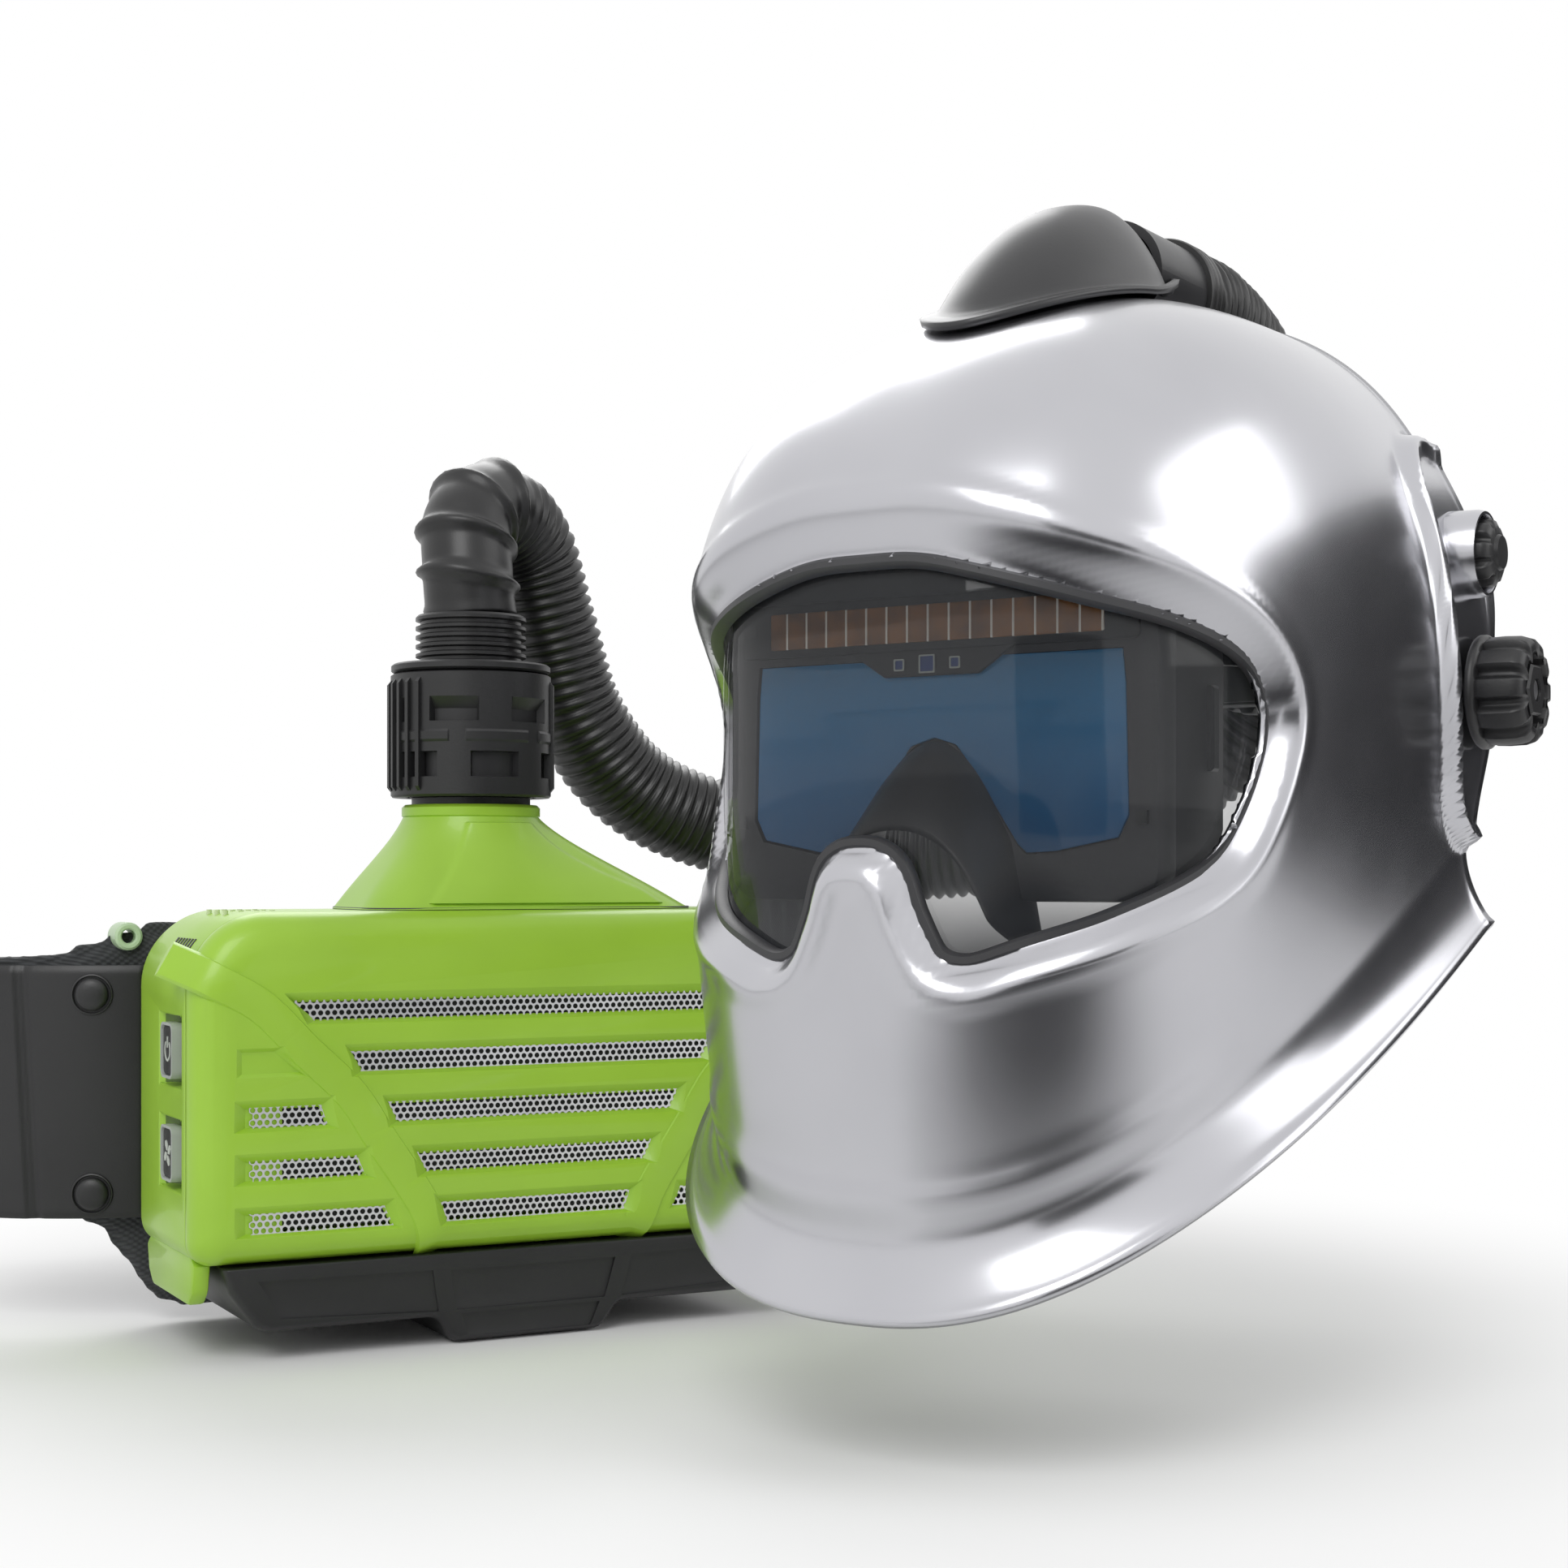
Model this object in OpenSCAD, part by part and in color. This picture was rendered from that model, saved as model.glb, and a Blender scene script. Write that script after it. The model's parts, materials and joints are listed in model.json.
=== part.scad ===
/* [Blower housing] */
// Overall width of the blower housing
housing_w = 268; // [256:1:280]
// Depth of the housing from the cover's face to the back
housing_d = 98; // [96:1:104]
// Height of the casing above the battery
case_h = 130; // [126:1:134]
// Depth of the front cover from its face to the seam
cover_d = 14; // [12:1:16]
// Wall of the moulded casings
wall = 2.5; // [2:0.1:3]
// Radius of the casing's upper corners
top_round = 30; // [26:1:32]
// Radius of the casing's lower corners
low_round = 9; // [7:1:12]
// How far the cover's face is drawn in from its seam
face_draft = 6; // [4:1:8]
// Height of an intake slot
slot_h = 6.5; // [5.5:0.5:7.5]
// Distance between intake slots
slot_pitch = 19.5; // [18:0.5:20]

/* [Battery] */
// Height of the battery pack
battery_h = 37; // [35:1:42]
// How far the battery's centre stands below its ends
battery_belly = 11; // [8:1:12]
// Radius of a battery cell
cell_r = 9.2; // [8.8:0.1:9.4]
// Radius of the charging socket
socket_r = 2.75; // [2.2:0.05:3.2]
// Depth of the charging socket
socket_depth = 9; // [7:0.5:10]

/* [Outlet and hose] */
// Height of the tapered neck above the casing
neck_h = 42; // [40:1:46]
// Outer radius of the neck's round top
neck_r = 28; // [27:0.5:29]
// Inner radius of the air way at the outlet
air_r = 18; // [16:0.5:18.5]
// Outer radius of the bayonet sleeve
collar_r = 33; // [32:0.5:35]
// Height of the bayonet sleeve
collar_h = 54; // [50:1:58]
// Outer radius of the plain hose cuff
cuff_r = 22.4; // [21.9:0.1:23]
// Length of the lower cuff above the sleeve
cuff_h = 20; // [16:1:24]

/* [Fan] */
// Radius of the fan rotor
rotor_r = 38; // [34:1:40]
// Width of the fan rotor
rotor_w = 18; // [14:1:19]
// Number of fan blades
blade_count = 20; // [12:1:24]

/* [Controls] */
// Height of a control button
button_h = 21; // [17:1:23]
// Width of a control button
button_w = 18; // [15:1:20]
// How far a button stands out of its side panel
button_out = 2.6; // [2:0.1:4]

/* [Helmet] */
// Half of the helmet shell's width at the ears
shell_half_w = 118; // [114:1:121]
// Distance from the pivots to the helmet's face
face_v = 213; // [209:1:218]
// Height of the shell's crown above the pivot
crown_h = 140; // [138:1:146]
// Depth of the chin below the pivot
chin_h = 195; // [190:1:200]
// Wall of the helmet shell
shell_wall = 2.4; // [2:0.1:2.8]
// Reach of the flared lower rim
rim_flare = 12; // [8:1:14]
// Height of the shade knob above the pivot
shade_up = 47; // [44:1:50]
// Thickness of the raised pads under the side knobs
pod_t = 4; // [3:0.5:5]
// Radius of a pivot knob
knob_r = 18.5; // [16:0.5:20]
// Thickness of a pivot knob
knob_t = 25; // [21:1:28]
// Radius of a pivot bolt
bolt_r = 3.5; // [3:0.1:4]
// Thickness of the clear cover lens
lens_t = 1.6; // [1.2:0.1:2]
// Height of the dark filter glass
glass_h = 66; // [60:1:68]

/* [Headgear] */
// Half of the headband's width
band_half_w = 79; // [74:1:82]
// Half of the headband's length
band_half_l = 97; // [94:1:99]
// Height of the headband
band_h = 26; // [20:1:28]
// Thickness of the headband
band_t = 2.2; // [1.8:0.1:3]
// Radius of the ratchet knob
ratchet_r = 17; // [14:0.5:18]

/* [Belt] */
// Half of the belt loop's width
belt_half_w = 215; // [205:1:220]
// Depth of the belt loop from the blower to the buckle
belt_depth = 230; // [224:1:250]
// Height of the padded belt
pad_h = 106; // [98:1:110]
// Thickness of the padded belt
pad_t = 9; // [7:0.5:10]
// Height of the webbing strap
strap_h = 38; // [32:1:42]
// Thickness of the webbing strap
strap_t = 2.4; // [1.8:0.1:3]
// Inner radius of a brace eyelet
eyelet_r = 2.8; // [2.4:0.1:3.2]
// Radius of a belt rivet
rivet_r = 6.5; // [5.5:0.5:8]

/* [Hidden] */

// Clearances shared by the whole assembly
seat = 0.3;
run_fit = 0.08;
eps = 0.01;
round_fn = 64;

// Blower levels and faces
front_y = -housing_d / 2;
back_y = housing_d / 2;
seam_y = front_y + cover_d;
case_z0 = battery_h;
case_z1 = battery_h + case_h;
side_x = housing_w / 2;
screw_r = 1.6;
boss_r = 4;

// Intake slots: half lengths from the top row down, and the bands that part them
slot_half = [97, 74, 59.5, 48, 38.5];
slot_z0 = case_z1 - 40;
band_gap = 25;
side_slot_x = side_x - 33;

// Screen, prefilter and filter behind the cover, one after another
filter_z = case_z0 + 55;
filter_w = 196;
filter_h = 84;
filter_t = 26;
pleat_pitch = 13;
screen_t = 1;
prefilter_t = 5;
screen_y = front_y + wall + seat;
prefilter_y = screen_y + screen_t + seat;
filter_y = prefilter_y + prefilter_t + seat;

// Fan: rotor, motor and scroll on one axis
fan_x = -38;
fan_z = case_z0 + 58;
fan_y0 = filter_y + filter_t + 3;
fan_y1 = back_y - wall - 2;
scroll_gap = 3;
scroll_w = 70;
rotor_y0 = fan_y0 + 5;
rotor_y1 = rotor_y0 + rotor_w;
hub_r = 8;
disc_t = 2;
motor_r = 14;
shaft_r = 2;

// Keypad and board on the left side
button_zs = [case_z1 - 52, case_z1 - 90.5];
button_y = -12;
key_round = 4;
key_rim = 4;
keypad_t = 1.6;
board_x = -side_x + 14;
board_t = 1.6;
board_w = 60;
light_r = 1;
light_pitch = [6, 12];
light_x = -side_x + 21;

// Battery: side walls under the casing, with a lower middle
batt_half = side_x - 10;
batt_y = back_y - 4;
belly_half = 31;
belly_slope = 8;
wing_round = 18;
wing_rise = 13;
socket_x = batt_half - 40;
latch_x = -side_x + 2.5;
latch_t = side_x - batt_half - 3.1;
latch_w = 72;
latch_h = 16;
hook_w = 18;
hook_z = case_z0 - 8.6;
hook_h = 3.2;
hook_out = 2.2;
cell_reach = 34;

// Outlet, coupling and cuff, stacked on one axis
outlet_x = -6;
outlet_y = 10;
neck_z = case_z1 + neck_h;
neck_half = 84;
ring_r = neck_r - 4;
ring_h = 9;
sleeve_z = neck_z + 3;
body_r = collar_r - 8;
body_top = 4;
cuff_z = sleeve_z + collar_h;

// Helmet pose: the point between the pivots, the height of the chin, and the way the face looks
helmet_x = 184;
helmet_y = -194;
helmet_lift = 48;
helmet_turn = -62;

// Helmet surface: its rear edge with a lobe at the pivots, and the powers of its curves
rear_top = -2;
lobe_reach = 16;
lobe_z = 20;
lobe_span = 50;
plan_n = 2.8;
crown_n = 2.3;
rim_rise = 116;
rim_n = 0.85;
flare_h = 30;
chin_draw_w = 0.16;
chin_draw_v = 0.07;

// Visor outline from the brow round to the nose, as half widths and heights
visor_half = [[0, 51], [24, 50], [48, 44], [72, 35], [92, 25], [103, 10], [107, -14],
    [105, -46], [98, -68], [80, -82], [56, -91], [38, -96], [24, -92], [15, -78], [9, -64]];
visor_nose = -61;
visor_w = shell_half_w - 11;
bezel_w = 9;
bezel_d = 7;
gasket_w = 5.5;
lens_off = shell_wall + bezel_d;

// Welding filter
glass_v = face_v - 53;
glass_z = -21;
glass_t = 5;
glass_round = 6;
frame_t = 14;
clip_v = glass_v - 6;
clip_x = half_w_at(clip_v, lens_off + lens_t) - 5 * seat;
clip_reach = 3.66;
frame_half_w = clip_x - clip_reach - seat;
glass_w = 2 * (frame_half_w - 8);
strip_z = glass_z + glass_h / 2 + 9;
strip_w = 2 * (frame_half_w - 16);
strip_h = 13;
sensor_x = frame_half_w - 4;
sensor_w = 4;
nose_peak = 26;
nose_foot = [-90, -50];
nose_half = [34, 26, 9];
clip_z = 4;
clip_h = 34;
clip_w = 12;

// Air dome and its inlet on the crown
dome_v = 80;
dome_rx = 36;
dome_rv = 72;
dome_h = 31;
dome_lean = 14;
dome_rim = 2.6;
inlet_z = crown_h + 12;
inlet_y0 = -34;
inlet_y1 = 6;
upper_cuff_h = 12;
channel_t = 24;
channel_z = [72, 116];

// Side knobs
pod_z = [-26, 62];
pod_v = [-4, 6];
pod_r = 20;
shade_v = 2;
shade_r = 11.5;
shade_rod_r = 4;
cup_r = 15;
cup_reach = 12;
knob_x = shell_half_w + pod_t + 3 * seat;
flute_r = 3.5;
arm_t = 3;
arm_x = shell_half_w - shell_wall - 5;
bolt_head_r = 7;

// Headgear
band_v = 20;
band_z = 6;
strap_r = band_half_w - 2;
crown_strap_w = 12;
crown_strap_t = 1.8;
rear_y = -band_v + band_half_l;
ratchet_t = 11;
ratchet_hub_r = 4;
brow_t = 7;
brow_half = 55;
seal_t = 2.3;
seal_h = 32;

// Belt loop: layers counted inwards from its outer line
belt_bend = 110;
belt_y0 = back_y + 5;
belt_z = 98;
strap_in = 0.6;
pad_in = strap_in + strap_t + seat;
pad_reach = 90;
plate_in = -3.2;
plate_out = -0.2;
plate_reach = 66;
plate_tuck = 8;
plate_z = belt_z - 4;
plate_h = pad_h - 4;
hanger_zs = [belt_z - 30, belt_z + 30];
hanger_x = 70;
hanger_pin_r = 3;
hanger_r = 8;
rivet_zs = [belt_z - 44.5, belt_z + 35];
rivet_in = 12.5;
rivet_a = asin((side_x + rivet_in + belt_bend - belt_half_w) / belt_bend);
loop_room = 9;
rivet_pin_r = rivet_r - 4;
eyelet_lip = 2.9;
eyelet_z = belt_z + 58;
// Padded belt's edges: half widths, with the drop below and the rise above its plain height
pad_edge = [[0, 43, 15], [108, 43, 15], [120, 42, 15], [127, 37, 14.5], [133, 27, 12.5],
    [139, 16, 10], [146, 9, 7], [158, 4, 3], [172, 1, 1], [185, 0, 0], [230, 0, 0]];
buckle_y = belt_y0 + belt_depth - strap_in - strap_t / 2;
buckle_h = 48;
buckle_half = 38;

// Hose route from the blower's cuff to the helmet's inlet
hose_rings = 78;
hose_facets = 12;
hose_rad = 21;
hose_points = [[-6, 10, 286], [-7, 11, 304], [-4, 19, 325], [12, 34, 335], [34, 50, 322],
    [49, 59, 288], [66, 64, 248], [98, 66, 216], [150, 56, 198], [208, 22, 190],
    [264, -36, 202], [304, -88, 238], [310, -120, 290], [291, -138, 344],
    [258, -155, 382], [224, -173, 395], [199, -186, 395]];

/* Shared functions */
function sgn_pow(a, p) = sign(a) * pow(abs(a), p);
function mid(a, b, k) = a + (b - a) * k;

// A point of the closed curve through the given points
function loop_point(p, i, k) =
    let (n = len(p), a = p[(i + n - 1) % n], b = p[i], c = p[(i + 1) % n], d = p[(i + 2) % n])
    0.5 * (2 * b + (c - a) * k + (2 * a - 5 * b + 4 * c - d) * k * k
        + (3 * b - a - 3 * c + d) * k * k * k);
function smooth_loop(p, steps) = [for (i = [0:len(p) - 1], j = [0:steps - 1])
    loop_point(p, i, j / steps)];

// A point of the open curve through the given points, k from 0 to 1
function route_point(p, k) =
    let (s = min(k, 0.99999) * (len(p) - 1), i = floor(s), f = s - i, m = len(p) - 1,
        b = p[i], c = p[i + 1], a = i > 0 ? p[i - 1] : 2 * b - c,
        d = i + 2 <= m ? p[i + 2] : 2 * c - b)
    0.5 * (2 * b + (c - a) * f + (2 * a - 5 * b + 4 * c - d) * f * f
        + (3 * b - a - 3 * c + d) * f * f * f);

// Helmet surface: half width of the level at height z, and how far ahead it reaches
function crown_fade(z, h) = z > 0 ? pow(max(0, 1 - pow(z / h, crown_n)), 1 / crown_n) : 1;
function chin_fade(z) = z < 0 ? pow(-z / chin_h, 1.6) : 0;
function level_w(z, off) = (shell_half_w - off) * crown_fade(z, crown_h - off)
    * (1 - chin_draw_w * chin_fade(z));
function level_v(z, off) = rear_top + (face_v - rear_top - off) * crown_fade(z, crown_h - off)
    * (1 - chin_draw_v * chin_fade(z));
function rear_v(z) = rear_top - lobe_reach * exp(-pow((z - lobe_z) / lobe_span, 4));
function ahead(t) = pow(max(0, cos(t)), 2 / plan_n);
function rim_z(t) = -chin_h + rim_rise * pow(1 - ahead(t), rim_n);
function flare(t, z) = rim_flare * pow(max(0, 1 - (z - rim_z(t)) / flare_h), 2);
function helmet_point(t, z, off) =
    let (f = flare(t, z), zs = z > 0 ? z * (crown_h - off) / crown_h : z, r = rear_v(zs))
    [(level_w(zs, off) + f) * sgn_pow(sin(t), 2 / plan_n),
        -r - (level_v(zs, off) + f - r) * ahead(t), zs];
function crown_z(u, v) = crown_h * pow(max(0, 1 - pow(pow(abs(u) / shell_half_w, plan_n)
    + pow(max(0, v - rear_top) / (face_v - rear_top), plan_n), crown_n / plan_n)), 1 / crown_n);
// Half width of the surface near the pivots' height, drawn in by off, at a distance ahead
function half_w_at(v, off) = (shell_half_w - off)
    * pow(1 - pow((v - rear_v(0)) / (face_v - off - rear_v(0)), plan_n), 1 / plan_n);

/* Shared shapes */
// A thin panel that follows the helmet's surface between two offsets
module panel(t0, t1, nt, low, high, nz, off_out, off_in) {
    function at(off) = [for (i = [0:nt], j = [0:nz])
        let (t = mid(t0, t1, i / nt), a = low(t), b = high(t))
        helmet_point(t, a + (b - a) * sin(90 * j / nz), off)];
    n = (nt + 1) * (nz + 1);
    function id(i, j) = i * (nz + 1) + j;
    outer = [for (i = [0:nt - 1], j = [0:nz - 1])
        each [[id(i, j), id(i, j + 1), id(i + 1, j + 1)], [id(i, j), id(i + 1, j + 1), id(i + 1, j)]]];
    inner = [for (f = outer) [n + f[2], n + f[1], n + f[0]]];
    foot = [for (i = [0:nt - 1]) each quad(id(i, 0), id(i + 1, 0), n)];
    head = [for (i = [0:nt - 1]) each quad(id(i + 1, nz), id(i, nz), n)];
    near = [for (j = [0:nz - 1]) each quad(id(0, j + 1), id(0, j), n)];
    far = [for (j = [0:nz - 1]) each quad(id(nt, j), id(nt, j + 1), n)];
    polyhedron(concat(at(off_out), at(off_in)), concat(outer, inner, foot, head, near, far));
}
function quad(a, b, n) = [[a, b, b + n], [a, b + n, a + n]];

// The visor's outline, grown outwards
module visor_outline(grow) {
    right = [for (p = visor_half) p];
    left = [for (i = [len(visor_half) - 1:-1:1]) [-visor_half[i][0], visor_half[i][1]]];
    ring = concat(right, [[0, visor_nose]], left);
    wide = max([for (p = visor_half) p[0]]);
    offset(r = grow) scale([visor_w / wide, 1]) polygon(smooth_loop(ring, 3));
}
module visor_prism(grow, v0, v1) {
    translate([0, -v0, 0]) rotate([90, 0, 0]) linear_extrude(v1 - v0) visor_outline(grow);
}
module on_helmet() {
    translate([helmet_x, helmet_y, chin_h + helmet_lift]) rotate([0, 0, helmet_turn]) children();
}
module x_axis_rod(r, x0, x1) {
    translate([x0, 0, 0]) rotate([0, 90, 0]) cylinder(r = r, h = x1 - x0, $fn = round_fn);
}
module y_axis_rod(r, y0, y1) {
    translate([0, y0, 0]) rotate([-90, 0, 0]) cylinder(r = r, h = y1 - y0, $fn = round_fn);
}
module round_box(size, r) {
    linear_extrude(size[2]) round_plate(size[0], size[1], r);
}
module round_plate(w, h, r) {
    square([w - 2 * r, h], center = true);
    square([w, h - 2 * r], center = true);
    for (x = [-1, 1], y = [-1, 1])
        translate([x * (w / 2 - r), y * (h / 2 - r)]) circle(r = r, $fn = 48);
}
// The blower's front outline, drawn in by inset
module case_outline(inset) {
    w = side_x - inset;
    top = case_z1 - inset;
    low = case_z0 + inset;
    rt = top_round - inset;
    rl = max(1, low_round - inset);
    for (s = [-1, 1]) {
        translate([s * (w - rt), top - rt]) circle(r = rt, $fn = 64);
        translate([s * (w - rl), low + rl]) circle(r = rl, $fn = 48);
    }
    translate([-w, low + rl]) square([2 * w, top - rt - low - rl]);
    translate([-(w - rt), low + rl]) square([2 * (w - rt), top - low - rl]);
    translate([-(w - rl), low]) square([2 * (w - rl), top - rt - low]);
}
module case_block(inset, y0, y1) {
    translate([0, y1, 0]) rotate([90, 0, 0]) linear_extrude(y1 - y0) case_outline(inset);
}
// Four screw places near the casing's corners
module at_screws() {
    for (s = [-1, 1], z = [case_z0 + 9, case_z1 - 12])
        translate([s * (side_x - (z > fan_z ? 34 : 12)), 0, z]) children();
}

/* Blower */
module rear_housing() {
    color("yellowgreen") difference() {
        union() {
            difference() {
                case_block(0, seam_y, back_y);
                case_block(wall, seam_y - eps, back_y - wall);
            }
            at_screws() y_axis_rod(boss_r, seam_y + wall, back_y - wall + eps);
        }
        translate([outlet_x, outlet_y, case_z1 - 2 * wall])
            cylinder(r = air_r, h = 3 * wall, $fn = round_fn);
        at_screws() y_axis_rod(screw_r + run_fit, seam_y, back_y + eps);
        for (z = button_zs)
            translate([-side_x - eps, button_y - button_w / 2 - 1.5, z - button_h / 2 - 1.5])
                cube([2 * wall, button_w + 3, button_h + 3]);
        translate([light_x, 0, case_z1 - wall - eps]) indicator_row(wall + 1, light_r + run_fit);
        for (s = [-1, 1], z = hanger_zs)
            translate([s * hanger_x, back_y - 2 * wall, z]) 
                y_axis_rod(hanger_pin_r + run_fit, 0, 3 * wall);
    }
}
module indicator_row(h, grow) {
    for (j = [-1:1], i = [0:3])
        translate([i * light_pitch[0], j * light_pitch[1], 0]) cylinder(r = grow, h = h, $fn = 24);
}
// Intake slots across the cover's face, parted by two diagonal bands
module intake_slots() {
    for (i = [0:4])
        translate([-slot_half[i], front_y - 5, slot_z0 - i * slot_pitch])
            cube([2 * slot_half[i], cover_d, slot_h]);
    for (s = [0, 1], i = [2:4])
        mirror([s, 0, 0]) translate([slot_half[i] + band_gap, front_y - 5, slot_z0 - i * slot_pitch])
            cube([side_slot_x - slot_half[i] - band_gap, cover_d, slot_h]);
}
module cover_solid(inset) {
    hull() {
        case_block(inset, seam_y - 7, seam_y);
        case_block(inset + face_draft, front_y + inset, front_y + inset + 1);
    }
}
module front_cover() {
    color("yellowgreen") difference() {
        cover_solid(0);
        translate([0, wall, 0]) case_block(face_draft + wall, front_y, seam_y + 1);
        intake_slots();
    }
}
module spark_screen() {
    color("silver") translate([0, screen_y + screen_t, filter_z]) rotate([90, 0, 0])
        linear_extrude(screen_t) round_plate(housing_w - 40, filter_h + 8, 6);
}
module prefilter() {
    color("whitesmoke") translate([0, prefilter_y + prefilter_t, filter_z]) rotate([90, 0, 0])
        linear_extrude(prefilter_t) round_plate(filter_w + 10, filter_h, 4);
}
module particle_filter() {
    color("gainsboro") difference() {
        translate([-filter_w / 2, filter_y, filter_z - filter_h / 2])
            cube([filter_w, filter_t, filter_h]);
        for (x = [-filter_w / 2 + 8:pleat_pitch:filter_w / 2 - pleat_pitch])
            translate([x, filter_y - eps, filter_z - filter_h / 2 + 6])
                cube([pleat_pitch / 2, filter_t - 6, filter_h - 12]);
    }
}
module fan_scroll() {
    color("dimgray") difference() {
        union() {
            translate([fan_x, 0, fan_z]) y_axis_rod(rotor_r + 3 * scroll_gap, fan_y0, fan_y1);
            translate([fan_x, fan_y0, fan_z])
                cube([scroll_w, fan_y1 - fan_y0, rotor_r + 3 * scroll_gap]);
        }
        translate([fan_x, 0, fan_z]) y_axis_rod(rotor_r + scroll_gap, fan_y0 + wall, fan_y1 - wall);
        translate([fan_x, 0, fan_z]) y_axis_rod(rotor_r - 12, fan_y0 - eps, fan_y0 + 2 * wall);
        translate([fan_x, 0, fan_z]) y_axis_rod(motor_r + run_fit, fan_y1 - 2 * wall, fan_y1 + eps);
        translate([fan_x + rotor_r + 2 * scroll_gap, fan_y0 + wall, fan_z + 4])
            cube([scroll_w - rotor_r - 2 * scroll_gap - wall, fan_y1 - fan_y0 - 2 * wall,
                rotor_r + 2 * scroll_gap]);
    }
}
module fan_rotor() {
    color("darkslategray") translate([fan_x, 0, fan_z]) difference() {
        union() {
            y_axis_rod(rotor_r, rotor_y1 - disc_t, rotor_y1);
            y_axis_rod(hub_r, rotor_y0, rotor_y1 - disc_t + eps);
            for (i = [0:blade_count - 1])
                rotate([0, i * 360 / blade_count, 0])
                    translate([rotor_r - 11, rotor_y0, -1]) rotate([0, 25, 0])
                        cube([9, rotor_w - disc_t + eps, 1.6]);
        }
        y_axis_rod(shaft_r + run_fit, rotor_y0 + 3, rotor_y1 + 1);
    }
}
module fan_motor() {
    color("gray") translate([fan_x, 0, fan_z]) {
        y_axis_rod(motor_r, rotor_y1 + 1, back_y - wall);
        y_axis_rod(shaft_r, rotor_y0 + 3.5, rotor_y1 + 1 + eps);
    }
}
module control_board() {
    post = board_x + side_x - wall;
    color("darkgreen") {
        translate([board_x, -board_w * 0.4, case_z0 + 16]) cube([board_t, board_w, case_h - 46]);
        for (z = [case_z0 + 26, case_z0 + 60, case_z0 + 84])
            translate([board_x + board_t, -10, z]) cube([6, 16, 9]);
        for (z = button_zs)
            translate([board_x - post + 5, button_y - 3, z - 3]) cube([post - 5, 6, 6]);
        for (y = [-20, 30])
            translate([board_x - post, y, case_z0 + 20]) cube([post, 4, 4]);
    }
}
module button_cut(grow) {
    for (z = button_zs)
        translate([-side_x - 10, button_y, z]) rotate([90, 0, 90])
            linear_extrude(20) round_plate(button_w + 2 * grow, button_h + 2 * grow, key_round);
}
module keypad_frame() {
    color("darkolivegreen") difference() {
        for (z = button_zs)
            translate([-side_x - keypad_t, button_y, z]) rotate([90, 0, 90])
                linear_extrude(keypad_t)
                    round_plate(button_w + 2 * key_rim, button_h + 2 * key_rim, key_round + 2);
        button_cut(seat);
    }
}
module button_at(z) {
    translate([-side_x - keypad_t - button_out + 1, button_y, z]) rotate([90, 0, 90])
        linear_extrude(button_out + keypad_t + wall + 2) round_plate(button_w, button_h, key_round);
}
module power_button() {
    color("gray") button_at(button_zs[0]);
}
module fan_speed_button() {
    color("gray") button_at(button_zs[1]);
}
module indicator_lights() {
    color("white") translate([light_x, 0, case_z1 - wall]) indicator_row(wall + seat, light_r);
}
module casing_screws() {
    color("silver") at_screws() {
        y_axis_rod(screw_r, seam_y + wall, back_y + eps);
        y_axis_rod(3, back_y, back_y + 1.8);
    }
}
module battery_profile(inset) {
    polygon([[-batt_half + inset, battery_h - seat - inset], [-batt_half + inset, battery_belly + wing_rise],
        [-batt_half + wing_round, battery_belly + inset],
        [-belly_half - belly_slope, battery_belly + inset],
        [-belly_half, inset], [belly_half, inset], [belly_half + belly_slope, battery_belly + inset],
        [batt_half - wing_round, battery_belly + inset], [batt_half - inset, battery_belly + wing_rise],
        [batt_half - inset, battery_h - seat - inset]]);
}
module battery_block(inset) {
    translate([0, batt_y - inset, 0]) rotate([90, 0, 0])
        linear_extrude(batt_y - front_y - 4 - 2 * inset) battery_profile(inset);
}
module battery_case() {
    color("black") difference() {
        union() {
            difference() {
                battery_block(0);
                battery_block(wall);
            }
            translate([socket_x, 0, battery_belly + eps]) cylinder(r = socket_r + 2, h = socket_depth + 2);
        }
        translate([socket_x, 0, battery_belly - 1]) cylinder(r = socket_r, h = socket_depth + 1);
        translate([-batt_half - eps, -10, hook_z - 0.4])
            cube([hook_out + 1, housing_d, hook_h + 0.8]);
    }
}
module battery_cells() {
    color("royalblue") for (i = [-3:3])
        translate([i * (2 * cell_r + seat), 0, battery_belly + wall + cell_r + seat])
            y_axis_rod(cell_r, -cell_reach, cell_reach);
}
module battery_latch() {
    color("olivedrab") translate([latch_x, -latch_w / 2, case_z0 - latch_h])
        cube([latch_t, latch_w, latch_h - seat]);
}
module latch_hook() {
    color("olivedrab") translate([latch_x + latch_t, -hook_w / 2, hook_z])
        cube([hook_out, hook_w, hook_h]);
}
module outlet_neck() {
    color("yellowgreen") difference() {
        hull() {
            translate([0, 2, case_z1 + seat]) linear_extrude(2)
                round_plate(2 * neck_half, housing_d - 26, 18);
            translate([outlet_x, outlet_y, neck_z - 6]) cylinder(r = neck_r, h = 6, $fn = 48);
        }
        hull() {
            translate([outlet_x, outlet_y, case_z1]) cylinder(r = air_r + 6, h = 1, $fn = 48);
            translate([outlet_x, outlet_y, neck_z - ring_h - 1]) cylinder(r = air_r, h = 1, $fn = 48);
        }
        translate([outlet_x, outlet_y, neck_z - ring_h])
            cylinder(r = ring_r + run_fit, h = ring_h + 1, $fn = round_fn);
        translate([outlet_x, outlet_y, neck_z - ring_h - 4]) cylinder(r = air_r, h = 5, $fn = round_fn);
    }
}
module tube(r_out, r_in, h) {
    difference() {
        cylinder(r = r_out, h = h, $fn = round_fn);
        translate([0, 0, -eps]) cylinder(r = r_in, h = h + 2 * eps, $fn = round_fn);
    }
}
module outlet_ring() {
    color("dimgray") translate([outlet_x, outlet_y, neck_z - ring_h]) {
        tube(ring_r, air_r, ring_h + 3 - seat);
    }
}
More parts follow.
